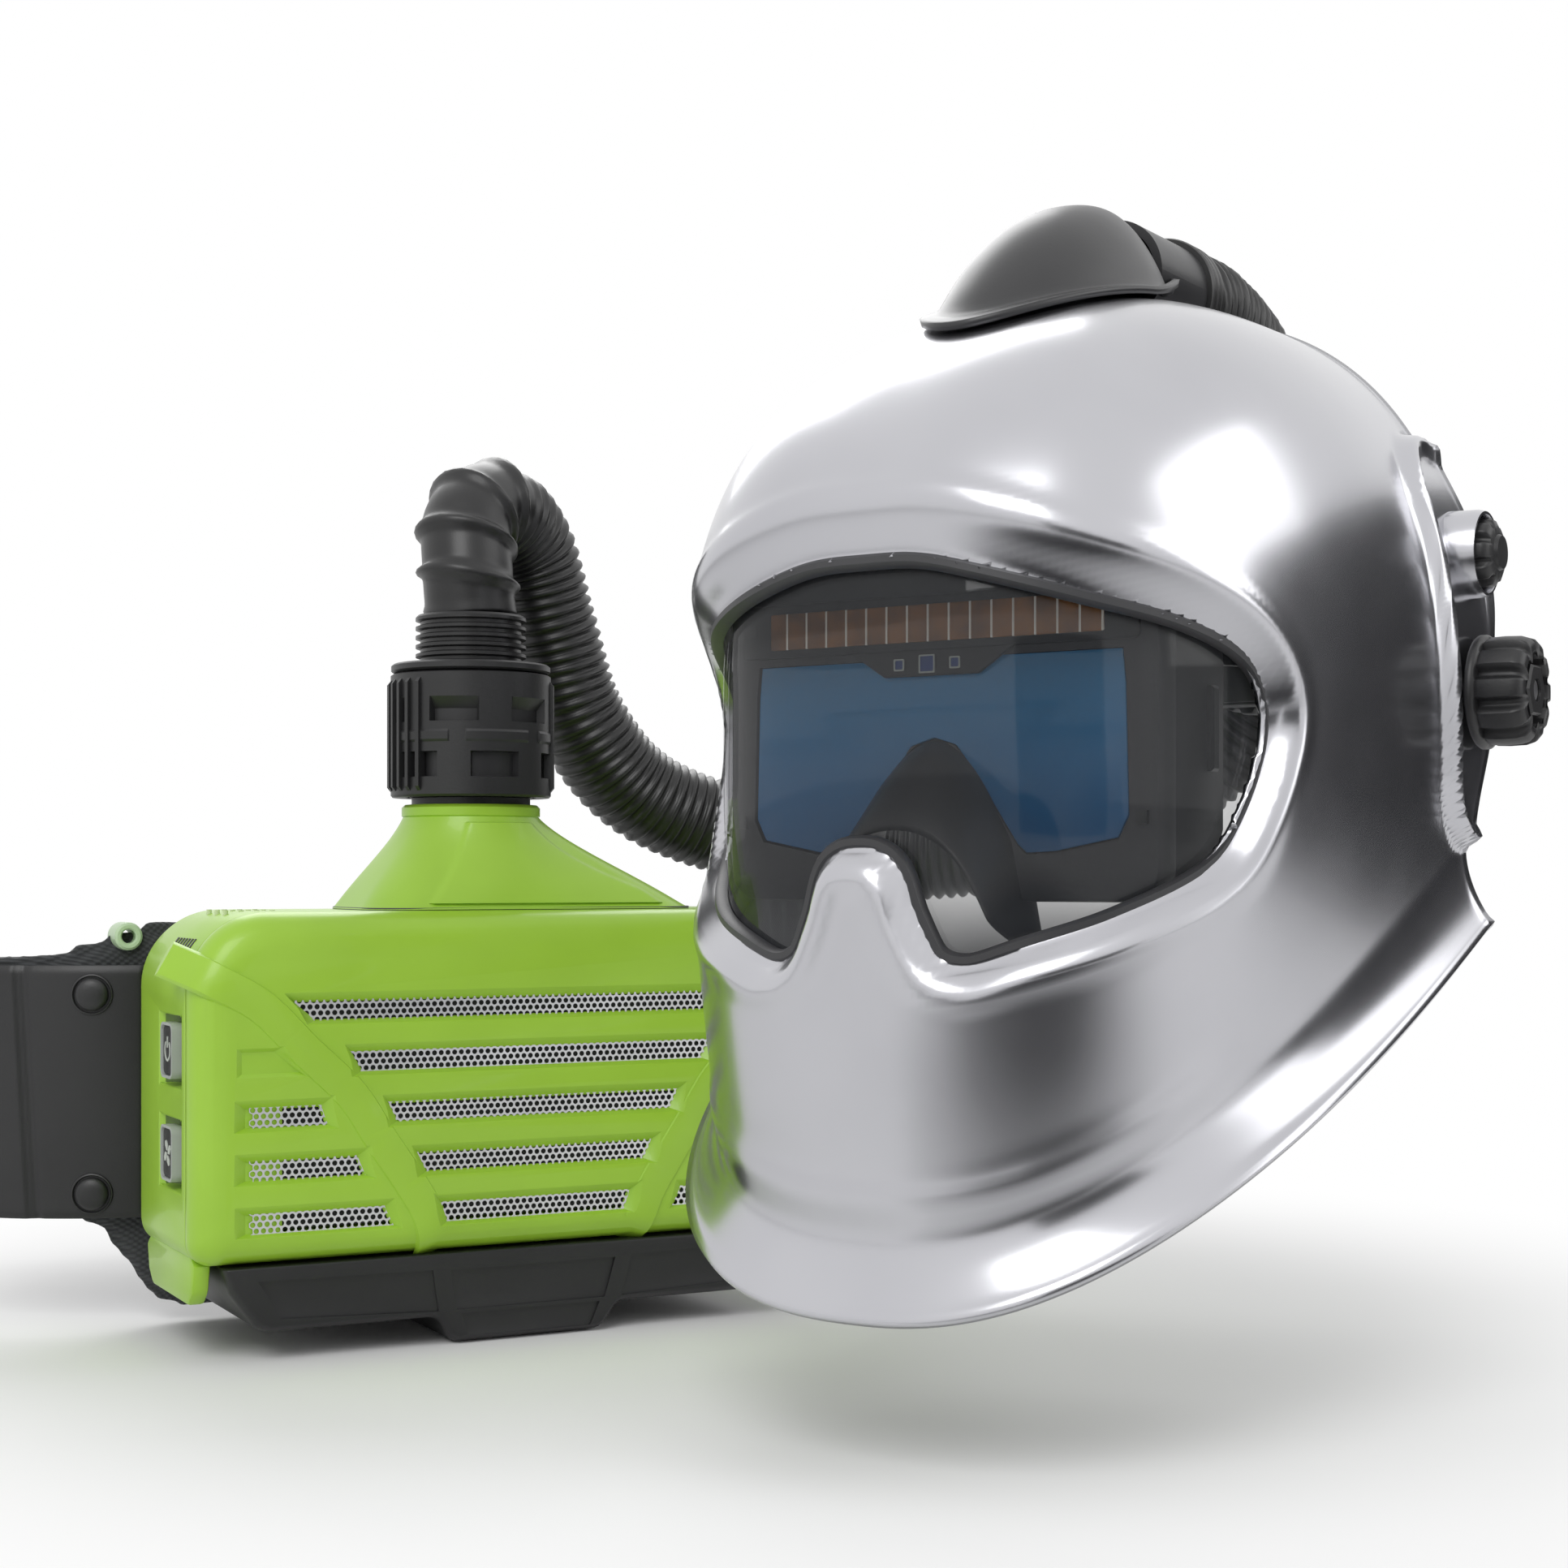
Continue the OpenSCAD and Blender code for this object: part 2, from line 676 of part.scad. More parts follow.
module coupling_body() {
    color("black") translate([outlet_x, outlet_y, sleeve_z]) {
        tube(body_r, air_r, collar_h);
        translate([0, 0, collar_h - body_top]) tube(collar_r - 1, air_r, body_top);
    }
}
module coupling_sleeve() {
    color("black") translate([outlet_x, outlet_y, sleeve_z]) difference() {
        tube(collar_r, body_r + run_fit, collar_h - body_top - seat);
        for (a = [0:60:300], z = [11, 33])
            rotate([0, 0, a]) translate([collar_r - 4, -9, z]) cube([8, 18, 8]);
    }
}
module lower_cuff() {
    color("black") translate([outlet_x, outlet_y, cuff_z]) tube(cuff_r, air_r, cuff_h);
}

/* Hose */
module swept_tube(p, r, n, rings) {
    at = [for (k = [0:rings]) route_point(p, k / rings)];
    way = [for (k = [0:rings]) route_point(p, min(1, k / rings + 0.004))
        - route_point(p, max(0, k / rings - 0.004))];
    pts = [for (k = [0:rings]) let (w = way[k] / norm(way[k]), ref = [0.47, -0.883, 0],
            a = cross(w, ref), e1 = a / norm(a), e2 = cross(w, e1))
        for (j = [0:n - 1]) at[k] + r * (cos(360 * j / n) * e1 + sin(360 * j / n) * e2)];
    sides = [for (k = [0:rings - 1], j = [0:n - 1])
        let (a = k * n + j, b = k * n + (j + 1) % n) each [[a, a + n, b + n], [a, b + n, b]]];
    caps = [[for (j = [0:n - 1]) j], [for (j = [n - 1:-1:0]) rings * n + j]];
    polyhedron(pts, concat(sides, caps));
}
module breathing_hose() {
    color("black") swept_tube(hose_points, hose_rad, hose_facets, hose_rings);
}
module upper_cuff() {
    color("black") on_helmet() translate([0, inlet_y1 - 1, inlet_z])
        rotate([-90, 0, 0]) tube(cuff_r, air_r, upper_cuff_h);
}
module inlet_elbow() {
    color("dimgray") on_helmet() translate([0, inlet_y0, inlet_z]) rotate([-90, 0, 0])
        tube(air_r + 2, air_r - 1, inlet_y1 - inlet_y0);
}

/* Helmet */
module helmet_shell() {
    color("silver") on_helmet() difference() {
        panel(-90, 90, 40, function(t) rim_z(t), function(t) crown_h * 0.9985, 14, 0, shell_wall);
        visor_prism(-bezel_w, 40, 300);
        x_axis_rod(bolt_r + run_fit, -200, 200);
        translate([0, -dome_v, 60]) cylinder(r = 15, h = 150, $fn = 48);
        translate([0, 0, inlet_z]) y_axis_rod(air_r + 2 + seat, inlet_y0 - 1, inlet_y1);
        translate([0, -shade_v, shade_up]) x_axis_rod(shade_rod_r + run_fit, 60, 200);
    }
}
// A cap whose foot follows the crown
module air_dome() {
    nr = 9;
    na = 36;
    function rise(r) = dome_h * pow(1 - r * r, 0.85) + dome_rim;
    function uv(r, a) = [dome_rx * r * cos(a), dome_v - dome_lean * (1 - r) - dome_rv * r * sin(a)];
    function top(r, a) = let (p = uv(r, a)) [p[0], -p[1], crown_z(p[0], p[1]) + seat + rise(r)];
    function low(r, a) = let (p = uv(r, a))
        [p[0], -p[1], crown_z(p[0], p[1]) + seat + max(0, rise(r) - 3)];
    rs = [for (i = [1:nr]) i / nr];
    tops = concat([top(0, 0)], [for (r = rs, j = [0:na - 1]) top(r, 360 * j / na)]);
    lows = concat([low(0, 0)], [for (r = rs, j = [0:na - 1]) low(r, 360 * j / na)]);
    m = len(tops);
    function id(i, j) = 1 + i * na + j % na;
    core = [for (j = [0:na - 1]) [0, id(0, j + 1), id(0, j)]];
    skirt = [for (i = [0:nr - 2], j = [0:na - 1])
        each [[id(i, j), id(i, j + 1), id(i + 1, j + 1)], [id(i, j), id(i + 1, j + 1), id(i + 1, j)]]];
    lid = concat(core, skirt);
    under = [for (f = lid) [m + f[2], m + f[1], m + f[0]]];
    edge = [for (j = [0:na - 1]) each quad(id(nr - 1, j), id(nr - 1, j + 1), m)];
    color("dimgray") on_helmet() polyhedron(concat(tops, lows), concat(lid, under, edge));
}
module air_channel() {
    color("dimgray") on_helmet()
        panel(-channel_t, channel_t, 12, function(t) channel_z[0], function(t) channel_z[1], 6,
            shell_wall + 3 * seat, shell_wall + 9);
}
module cover_lens() {
    color([0.6, 0.7, 0.8, 0.4]) on_helmet() intersection() {
        panel(-74, 74, 40, function(t) -104, function(t) 66, 8, lens_off, lens_off + lens_t);
        visor_prism(-bezel_w + gasket_w + 0.5, 40, 300);
    }
}
// The gasket ring that carries the lens behind the shell's opening
module lens_gasket() {
    color("dimgray") on_helmet() difference() {
        intersection() {
            panel(-74, 74, 40, function(t) -104, function(t) 66, 8, shell_wall + 3 * seat, lens_off - seat);
            visor_prism(-bezel_w + gasket_w + 0.5, 40, 300);
        }
        visor_prism(-bezel_w + 0.5, 40, 300);
    }
}
module nose_cut(grow) {
    foot = [-nose_half[0] - grow, nose_foot[0]];
    bend = [-nose_half[1] - grow, nose_foot[1]];
    top = [-nose_half[2] - grow, 4 - nose_peak];
    polygon([foot, bend, top, [0, 6 - nose_peak + grow], [-top[0], top[1]], [-bend[0], bend[1]],
        [-foot[0], foot[1]]]);
}
module front_plate(v0, v1) {
    translate([0, -v0, 0]) rotate([90, 0, 0]) linear_extrude(v1 - v0) children();
}
module filter_frame() {
    color("dimgray") on_helmet() difference() {
        front_plate(glass_v - frame_t, glass_v) difference() {
            translate([0, glass_z + 8]) round_plate(2 * frame_half_w, glass_h + 50, 10);
            nose_cut(2);
        }
        front_plate(glass_v - 1 - glass_t - seat, glass_v + 1) translate([0, glass_z])
            round_plate(glass_w + 2 * seat, glass_h + 2 * seat, glass_round);
        front_plate(glass_v - frame_t - 1, glass_v - glass_t) intersection() {
            translate([0, glass_z])
                round_plate(glass_w - 2 * glass_round, glass_h - 2 * glass_round, glass_round);
            difference() {
                square(2 * glass_w, center = true);
                nose_cut(clip_w);
            }
        }
    }
}
module filter_glass() {
    color("steelblue") on_helmet() front_plate(glass_v - 1 - glass_t, glass_v - 1) difference() {
        translate([0, glass_z]) round_plate(glass_w, glass_h, glass_round);
        nose_cut(2);
    }
}
module solar_strip() {
    color("saddlebrown") on_helmet() translate([0, 0, strip_z])
        front_plate(glass_v, glass_v + 1.2) round_plate(strip_w, strip_h, 1);
}
module sensor_windows() {
    color("black") on_helmet() for (s = [-1, 1], z = [strip_z, glass_z - glass_h / 2 + 10])
        translate([s * sensor_x, 0, z])
            front_plate(glass_v, glass_v + 0.8) square(sensor_w, center = true);
}
module nose_piece() {
    color("black") on_helmet() front_plate(glass_v - frame_t + 1, glass_v + 6) difference() {
        intersection() {
            nose_cut(2 - seat);
            translate([-glass_w / 2, nose_foot[0] - 2]) square([glass_w, 66]);
        }
        translate([0, -8]) nose_cut(-2);
    }
}
module lens_clips() {
    color("black") on_helmet() for (s = [0, 1])
        mirror([s, 0, 0]) translate([frame_half_w + seat, -clip_v, clip_z - clip_h / 2])
            cube([clip_reach, clip_w, clip_h]);
}
// A layer over the helmet's side, from one height above its surface to another
module side_layer(low, high) {
    panel(50, 90, 18, function(t) pod_z[0] - pod_r, function(t) pod_z[1] + pod_r, 14, -high, -low);
}
module pod_prism() {
    hull() for (i = [0, 1])
        translate([0, -pod_v[i], pod_z[i]]) x_axis_rod(pod_r, 60, shell_half_w + 40);
}
// Raised pads round the pivots, the left one open round the shade knob's cup
module side_pods() {
    color("silver") on_helmet() for (s = [0, 1])
        mirror([s, 0, 0]) difference() {
            intersection() {
                side_layer(seat, seat + pod_t);
                pod_prism();
            }
            x_axis_rod(bolt_r + run_fit, 60, 200);
            if (s == 0) translate([0, -shade_v, shade_up])
                x_axis_rod(cup_r + seat, 60, shell_half_w + 40);
        }
}
module shade_cup() {
    color("silver") on_helmet() difference() {
        intersection() {
            side_layer(seat, cup_reach);
            translate([0, -shade_v, shade_up]) x_axis_rod(cup_r, 60, shell_half_w + 40);
        }
        translate([0, -shade_v, shade_up]) {
            x_axis_rod(shade_r + 1, shell_half_w + seat, shell_half_w + 40);
            x_axis_rod(shade_rod_r + run_fit, 60, shell_half_w + 40);
        }
    }
}
module shade_knob() {
    color("black") on_helmet() translate([0, -shade_v, shade_up]) {
        x_axis_rod(shade_rod_r, shell_half_w - 16, shell_half_w + 5);
        x_axis_rod(shade_r, shell_half_w + 3 * seat, shell_half_w + 13);
        for (a = [0:60:300])
            rotate([a, 0, 0]) translate([shell_half_w + 6, shade_r - 2.5, -1.5]) cube([7, 3, 3]);
    }
}
module pivot_knob(side) {
    color("black") on_helmet() rotate([0, 0, side > 0 ? 0 : 180]) difference() {
        union() {
            x_axis_rod(knob_r - 2.5, knob_x + 1, knob_x + knob_t);
            x_axis_rod(knob_r + 1, knob_x, knob_x + 3);
            for (a = [0:36:324])
                rotate([a, 0, 0]) translate([knob_x + 2, 0, knob_r - flute_r])
                    x_axis_rod(flute_r, 0, knob_t - 3);
        }
        x_axis_rod(bolt_r + run_fit, knob_x - 1, knob_x + knob_t - 6);
    }
}
module pivot_knob_left() {
    pivot_knob(1);
}
module pivot_knob_right() {
    pivot_knob(-1);
}
module pivot_bolt(side) {
    color("silver") on_helmet() rotate([0, 0, side > 0 ? 0 : 180]) {
        x_axis_rod(bolt_r, arm_x - arm_t - 1, knob_x + knob_t - 7);
        x_axis_rod(bolt_head_r, arm_x - arm_t - 4, arm_x - arm_t - 0.6);
    }
}
module pivot_bolt_left() {
    pivot_bolt(1);
}
module pivot_bolt_right() {
    pivot_bolt(-1);
}

/* Headgear */
module band_outline(grow) {
    r = band_half_w + grow;
    run = band_half_l - band_half_w;
    for (s = [-1, 1])
        translate([0, s * run]) circle(r = r, $fn = 96);
    square([2 * r, 2 * run], center = true);
}
module headband() {
    color("dimgray") on_helmet() translate([0, -band_v, band_z]) linear_extrude(band_h) difference() {
        band_outline(0);
        band_outline(-band_t);
    }
}
module crown_straps() {
    color("dimgray") on_helmet() for (v = [band_v - 22, band_v + 22])
        translate([0, -v, band_z + band_h]) rotate([90, 0, 0])
            linear_extrude(crown_strap_w, center = true) intersection() {
                difference() {
                    circle(r = strap_r, $fn = 96);
                    circle(r = strap_r - crown_strap_t, $fn = 96);
                }
                translate([-strap_r, 0]) square(2 * strap_r);
            }
}
module headgear_arms() {
    color("black") on_helmet() for (s = [0, 180])
        rotate([0, 0, s]) difference() {
            union() {
                x_axis_rod(12, arm_x - arm_t, arm_x);
                translate([band_half_w, -10, band_z + 2]) cube([arm_x - band_half_w, 20, 4]);
                translate([arm_x - arm_t, -10, 0]) cube([arm_t, 20, band_z + 4]);
                translate([band_half_w + eps, -10, band_z + 2]) cube([arm_t, 20, band_h - 6]);
            }
            x_axis_rod(bolt_r + run_fit, arm_x - 8, arm_x + 1);
        }
}
module ratchet_housing() {
    color("black") on_helmet() translate([0, rear_y, band_z + band_h / 2]) difference() {
        rotate([-90, 0, 0]) linear_extrude(ratchet_t) round_plate(64, band_h + 4, 12);
        y_axis_rod(ratchet_hub_r + run_fit, ratchet_t - 7, ratchet_t + 1);
    }
}
module ratchet_knob() {
    color("black") on_helmet() translate([0, rear_y + ratchet_t + seat, band_z + band_h / 2]) {
        y_axis_rod(ratchet_r - 1.5, 0, ratchet_t);
        y_axis_rod(ratchet_hub_r, -6, eps);
        for (a = [0:30:330])
            rotate([0, a, 0]) translate([ratchet_r - 2, 0, 0]) y_axis_rod(2, 0, ratchet_t);
    }
}
module brow_pad() {
    color("black") on_helmet() translate([0, -band_v, band_z + 2]) linear_extrude(band_h - 4)
        intersection() {
            difference() {
                band_outline(-band_t - 0.05);
                band_outline(-band_t - brow_t);
            }
            translate([-brow_half, -200]) square([2 * brow_half, 160]);
        }
}
module face_seal() {
    color("black") on_helmet() panel(-84, 84, 30, function(t) rim_z(t) + flare_h + 2,
        function(t) rim_z(t) + flare_h + 2 + seal_h, 3, shell_wall + seat, shell_wall + seat + seal_t);
}

/* Belt */
// The loop's plan: a straight front run along the blower and round sides
module loop_plan(grow) {
    r = belt_bend + grow;
    x = belt_half_w - belt_bend;
    y0 = belt_y0 + belt_bend;
    y1 = belt_y0 + belt_depth - belt_bend;
    for (s = [-1, 1], y = [y0, y1])
        translate([s * x, y]) circle(r = r, $fn = 128);
    translate([-x, y0 - r]) square([2 * x, y1 - y0 + 2 * r]);
    translate([-x - r, y0]) square([2 * (x + r), y1 - y0]);
}
module loop_band(inner, outer, z, h) {
    translate([0, 0, z - h / 2]) linear_extrude(h) difference() {
        loop_plan(-inner);
        loop_plan(-outer);
    }
}
module pad_front() {
    n = len(pad_edge) - 1;
    across = concat([for (i = [n:-1:1]) [-pad_edge[i][0], pad_edge[i][1], pad_edge[i][2]]], pad_edge);
    low = [for (p = across) [p[0], belt_z - pad_h / 2 - p[1]]];
    top = [for (i = [2 * n:-1:0]) [across[i][0], belt_z + pad_h / 2 + across[i][2]]];
    polygon(concat(low, top));
}
module belt_pad() {
    color("darkslategray") difference() {
        intersection() {
            loop_band(pad_in, pad_in + pad_t, belt_z, 2 * pad_h);
            translate([0, belt_y0 + pad_reach, 0]) rotate([90, 0, 0])
                linear_extrude(loop_room + pad_reach) pad_front();
        }
        eyelet_place() y_axis_rod(eyelet_r + eyelet_lip, -10, 20);
    }
}
module belt_plate(side) {
    color("black") difference() {
        intersection() {
            loop_band(plate_in, plate_out, plate_z, plate_h);
            translate([side > 0 ? side_x - plate_tuck : -belt_half_w - loop_room,
                    belt_y0 - loop_room, 0])
                cube([belt_half_w + loop_room - side_x + plate_tuck, loop_room + plate_reach,
                    belt_z + pad_h]);
        }
        at_rivets() y_axis_rod(rivet_pin_r + run_fit, -6, 6);
    }
}
module at_rivets() {
    for (s = [-1, 1], z = rivet_zs)
        translate([s * (belt_half_w - belt_bend), belt_y0 + belt_bend, z])
            rotate([0, 0, s * rivet_a]) translate([0, -belt_bend, 0]) children();
}
module belt_plate_left() {
    belt_plate(-1);
}
module belt_plate_right() {
    belt_plate(1);
}
module belt_rivets() {
    color("black") at_rivets() {
        y_axis_rod(rivet_r, plate_in - 2, plate_in - 0.05);
        y_axis_rod(rivet_pin_r, plate_in - 0.1, 0.3);
    }
}
module eyelet_place() {
    for (s = [-1, 1])
        translate([s * (side_x - 1), belt_y0 + 7, eyelet_z]) children();
}
module belt_eyelets() {
    color("lightgreen") eyelet_place() difference() {
        y_axis_rod(eyelet_r + eyelet_lip, -2, pad_t + 3);
        y_axis_rod(eyelet_r, -3, pad_t + 4);
    }
}
module belt_hangers() {
    color("black") for (s = [-1, 1], z = hanger_zs)
        translate([s * hanger_x, 0, z]) {
            y_axis_rod(hanger_pin_r, back_y - wall, back_y + 1);
            y_axis_rod(hanger_r, back_y + seat, belt_y0 + pad_in - seat);
        }
}
module waist_strap() {
    color("dimgray") difference() {
        loop_band(strap_in, strap_in + strap_t, belt_z, strap_h);
        translate([-buckle_half, belt_y0 + belt_depth - 20, 0]) cube([2 * buckle_half, 40, 200]);
    }
}
module buckle_socket() {
    color("black") translate([-6, buckle_y - 7, belt_z - buckle_h / 2]) difference() {
        cube([buckle_half + 6, 14, buckle_h]);
        translate([-eps, 3, 5]) cube([30, 8, buckle_h - 10]);
    }
}
module buckle_tongue() {
    prong_x = buckle_half - 8;
    color("black") translate([-buckle_half, buckle_y - 6, belt_z - buckle_h / 2]) {
        cube([prong_x, 12, buckle_h]);
        for (z = [7, buckle_h - 13])
            translate([prong_x - eps, 3.5, z]) cube([27, 5, 6]);
        translate([prong_x - eps, 3.5, buckle_h / 2 - 3]) cube([22, 5, 6]);
    }
}

rear_housing();
front_cover();
spark_screen();
prefilter();
particle_filter();
fan_scroll();
fan_rotor();
fan_motor();
control_board();
keypad_frame();
power_button();
fan_speed_button();
indicator_lights();
battery_case();
battery_cells();
battery_latch();
latch_hook();
outlet_neck();
outlet_ring();
casing_screws();
coupling_sleeve();
coupling_body();
lower_cuff();
breathing_hose();
upper_cuff();
inlet_elbow();
helmet_shell();
air_dome();
air_channel();
cover_lens();
lens_gasket();
filter_frame();
filter_glass();
solar_strip();
sensor_windows();
nose_piece();
lens_clips();
side_pods();
shade_cup();
shade_knob();
pivot_knob_left();
pivot_knob_right();
pivot_bolt_left();
pivot_bolt_right();
headband();
crown_straps();
headgear_arms();
ratchet_housing();
ratchet_knob();
brow_pad();
face_seal();
belt_pad();
belt_plate_left();
belt_plate_right();
belt_rivets();
belt_eyelets();
belt_hangers();
waist_strap();
buckle_socket();
buckle_tongue();
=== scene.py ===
"""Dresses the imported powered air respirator: blower, hose, helmet, headgear and belt."""

import json
import math
from contextlib import contextmanager

import bmesh
import bpy
import numpy as np
from mathutils import Matrix, Vector


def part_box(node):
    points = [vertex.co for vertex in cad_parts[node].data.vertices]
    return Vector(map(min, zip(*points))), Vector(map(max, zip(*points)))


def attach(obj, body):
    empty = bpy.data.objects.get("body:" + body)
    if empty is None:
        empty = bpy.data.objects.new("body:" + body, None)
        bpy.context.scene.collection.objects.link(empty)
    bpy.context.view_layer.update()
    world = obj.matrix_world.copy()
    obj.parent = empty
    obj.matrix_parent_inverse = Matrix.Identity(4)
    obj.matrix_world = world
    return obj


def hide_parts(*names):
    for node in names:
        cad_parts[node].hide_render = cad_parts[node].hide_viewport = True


bl_info = {
    "name": "Powered Air Respirator",
    "version": (1, 0, 0),
    "blender": (4, 5, 0),
    "location": "View3D > Sidebar > Respirator",
    "description": "Builds the looks of a belt blower, its hose and a silver air-fed helmet",
    "category": "Object",
}

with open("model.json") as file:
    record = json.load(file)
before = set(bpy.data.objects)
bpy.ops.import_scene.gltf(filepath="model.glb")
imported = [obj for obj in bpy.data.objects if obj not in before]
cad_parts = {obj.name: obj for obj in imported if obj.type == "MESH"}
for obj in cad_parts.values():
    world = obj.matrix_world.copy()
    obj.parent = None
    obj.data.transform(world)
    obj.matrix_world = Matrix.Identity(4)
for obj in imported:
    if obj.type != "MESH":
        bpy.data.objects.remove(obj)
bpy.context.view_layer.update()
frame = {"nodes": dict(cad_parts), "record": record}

# The helmet's place and the values of its surface, its filter and its headgear
HELMET_AT = Vector((0.184, -0.194, 0.243))
HELMET_TURN = math.radians(-62)
SHELL_HALF_W = 0.118
FACE_V = 0.213
CROWN_H = 0.14
CHIN_H = 0.195
SHELL_WALL = 0.0024
REAR_TOP = -0.002
LOBE_REACH = 0.016
LOBE_Z = 0.02
LOBE_SPAN = 0.05
PLAN_N = 2.8
CROWN_N = 2.3
RIM_RISE = 0.116
RIM_N = 0.85
RIM_FLARE = 0.012
FLARE_H = 0.03
BEZEL_DROP = 0.0085
SENSOR_Z = 0.0042
FILTER_SIDE = 0.0735
FILTER_BACK = 0.147
WING_SPLAY = 0.06
BAND_R = 0.079
BAND_Z = 0.019
RATCHET_BACK = 0.0883
BAND_HALF = 0.018
BAND_MIDDLE = -0.02
STRAP_R = 0.077
STRAP_BASE = 0.032
VISOR_HALF = [(0, 51), (24, 50), (48, 44), (72, 35), (92, 25), (103, 10), (107, -14), (105, -46), (98, -68),
              (80, -82), (56, -91), (38, -96), (24, -92), (15, -78), (9, -64), (0, -61)]
SHADE_UP = 0.047

# The blower's levels and faces
SIDE_X = 0.134
FRONT_Y = -0.049
BACK_Y = 0.049
SEAM_Y = -0.035
CASE_Z0 = 0.037
CASE_Z1 = 0.167
KEY_ZS = (0.115, 0.0765)
KEY_Y = -0.012
KEY_CHANNELS = ((0.101, 0.129), (0.0625, 0.0905))
CHANNEL_HALF_W = 0.0172
CHANNEL_DEPTH = 0.0058
OUTLET = Vector((-0.006, 0.01, 0.0))
NECK_TOP = 0.209
NECK_R = 0.0275
NECK_OFF = 0.009
SLEEVE_Z = 0.212
CUFF_Z = 0.266
SLOT_ROWS = [(0.097, 0.127), (0.074, 0.1075), (0.0595, 0.088), (0.048, 0.0685), (0.0385, 0.049)]
SLOT_H = 0.0065
PACK_TOP = 0.0362
PACK_FRONT = -0.0448
PACK_SLOPE = 0.16
SOCKET_X = 0.084
SOCKET_R = 0.00275
SLOT_ENDS = [(0.097, 0.088), (0.074, 0.07), (0.0595, 0.056), (0.048, 0.0445), (0.0385, 0.036)]
SIDE_ENDS = [(0.087, 0.0845), (0.073, 0.07), (0.0625, 0.059)]

# The belt's plan and levels
BELT_FRONT = 0.054
BELT_FLAT = 0.105
BELT_BEND = 0.11
BELT_DEPTH = 0.01
PLATE_START = 0.127
PLATE_LONG = 0.1045
PLATE_LOW = 0.0435
PLATE_TALL = 0.101
STRAP_Z = 0.098
EYELET = Vector((0.133, 0.061, 0.156))

# The hose's route, from the blower's cuff to the helmet's inlet
HOSE_ROUTE = [(-6, 10, 286), (-7, 11, 304), (-4, 19, 325), (12, 34, 335), (34, 50, 322), (49, 59, 288),
              (66, 64, 248), (98, 66, 216), (150, 56, 198), (208, 22, 190), (264, -36, 202), (304, -88, 238),
              (310, -120, 290), (291, -138, 344), (258, -155, 382), (224, -173, 395), (199, -186, 395)]
WIDE_RIBS_LONG = 0.08
WIDE_PITCH = 0.0165
CLOSE_PITCH = 0.0052


def on_helmet(p):
    """A place on the helmet, given from the pivots, in the object's frame."""
    return HELMET_AT + Matrix.Rotation(HELMET_TURN, 3, "Z") @ Vector(p)


# Finishes


class Value:
    """A node's output that Python's arithmetic can combine."""

    def __init__(self, tree, socket):
        self.tree = tree
        self.socket = socket

    def maths(self, operation, a, b=0.0):
        """The result of a Math node."""
        return self.tree.node("ShaderNodeMath", {"operation": operation}, {0: a, 1: b})

    def __add__(self, other):
        return self.maths("ADD", self, other)

    def __sub__(self, other):
        return self.maths("SUBTRACT", self, other)

    def __rsub__(self, other):
        return self.maths("SUBTRACT", other, self)

    def __mul__(self, other):
        return self.maths("MULTIPLY", self, other)

    def __truediv__(self, other):
        return self.maths("DIVIDE", self, other)

    def __rtruediv__(self, other):
        return self.maths("DIVIDE", other, self)

    def __mod__(self, other):
        return self.maths("MODULO", self, other)

    def __rmod__(self, other):
        return self.maths("MODULO", other, self)

    __radd__ = __add__
    __rmul__ = __mul__

    def at_least(self, other):
        """The greater of two values."""
        return self.maths("MAXIMUM", self, other)

    def above(self, other):
        """1 where the value is greater."""
        return self.maths("GREATER_THAN", self, other)

    def whole(self):
        """The value without its fraction."""
        return self.maths("FLOOR", self)

    def fraction(self):
        """What is left of the value without its whole part."""
        return self.maths("FRACT", self)

    def wave(self):
        """The sine of the value."""
        return self.maths("SINE", self)


class Tree:
    """A node tree whose nodes all come from one method."""

    def __init__(self, tree):
        self.nodes, self.links = tree.nodes, tree.links

    def node(self, kind, settings=None, values=None, out=0):
        """A new node with its settings and its fed sockets."""
        made = self.nodes.new(kind)
        for key, value in (settings or {}).items():
            setattr(made, key, value)
        for key, value in (values or {}).items():
            self.feed(made.inputs[key], value)
        return Value(self, made.outputs[out])

    def feed(self, socket, value):
        """Links a value to a socket, or sets the socket to a plain number or colour."""
        if isinstance(value, Value):
            self.links.new(value.socket, socket)
        elif socket.type == "RGBA":
            socket.default_value = tuple(value) + (1.0,)
        else:
            socket.default_value = value


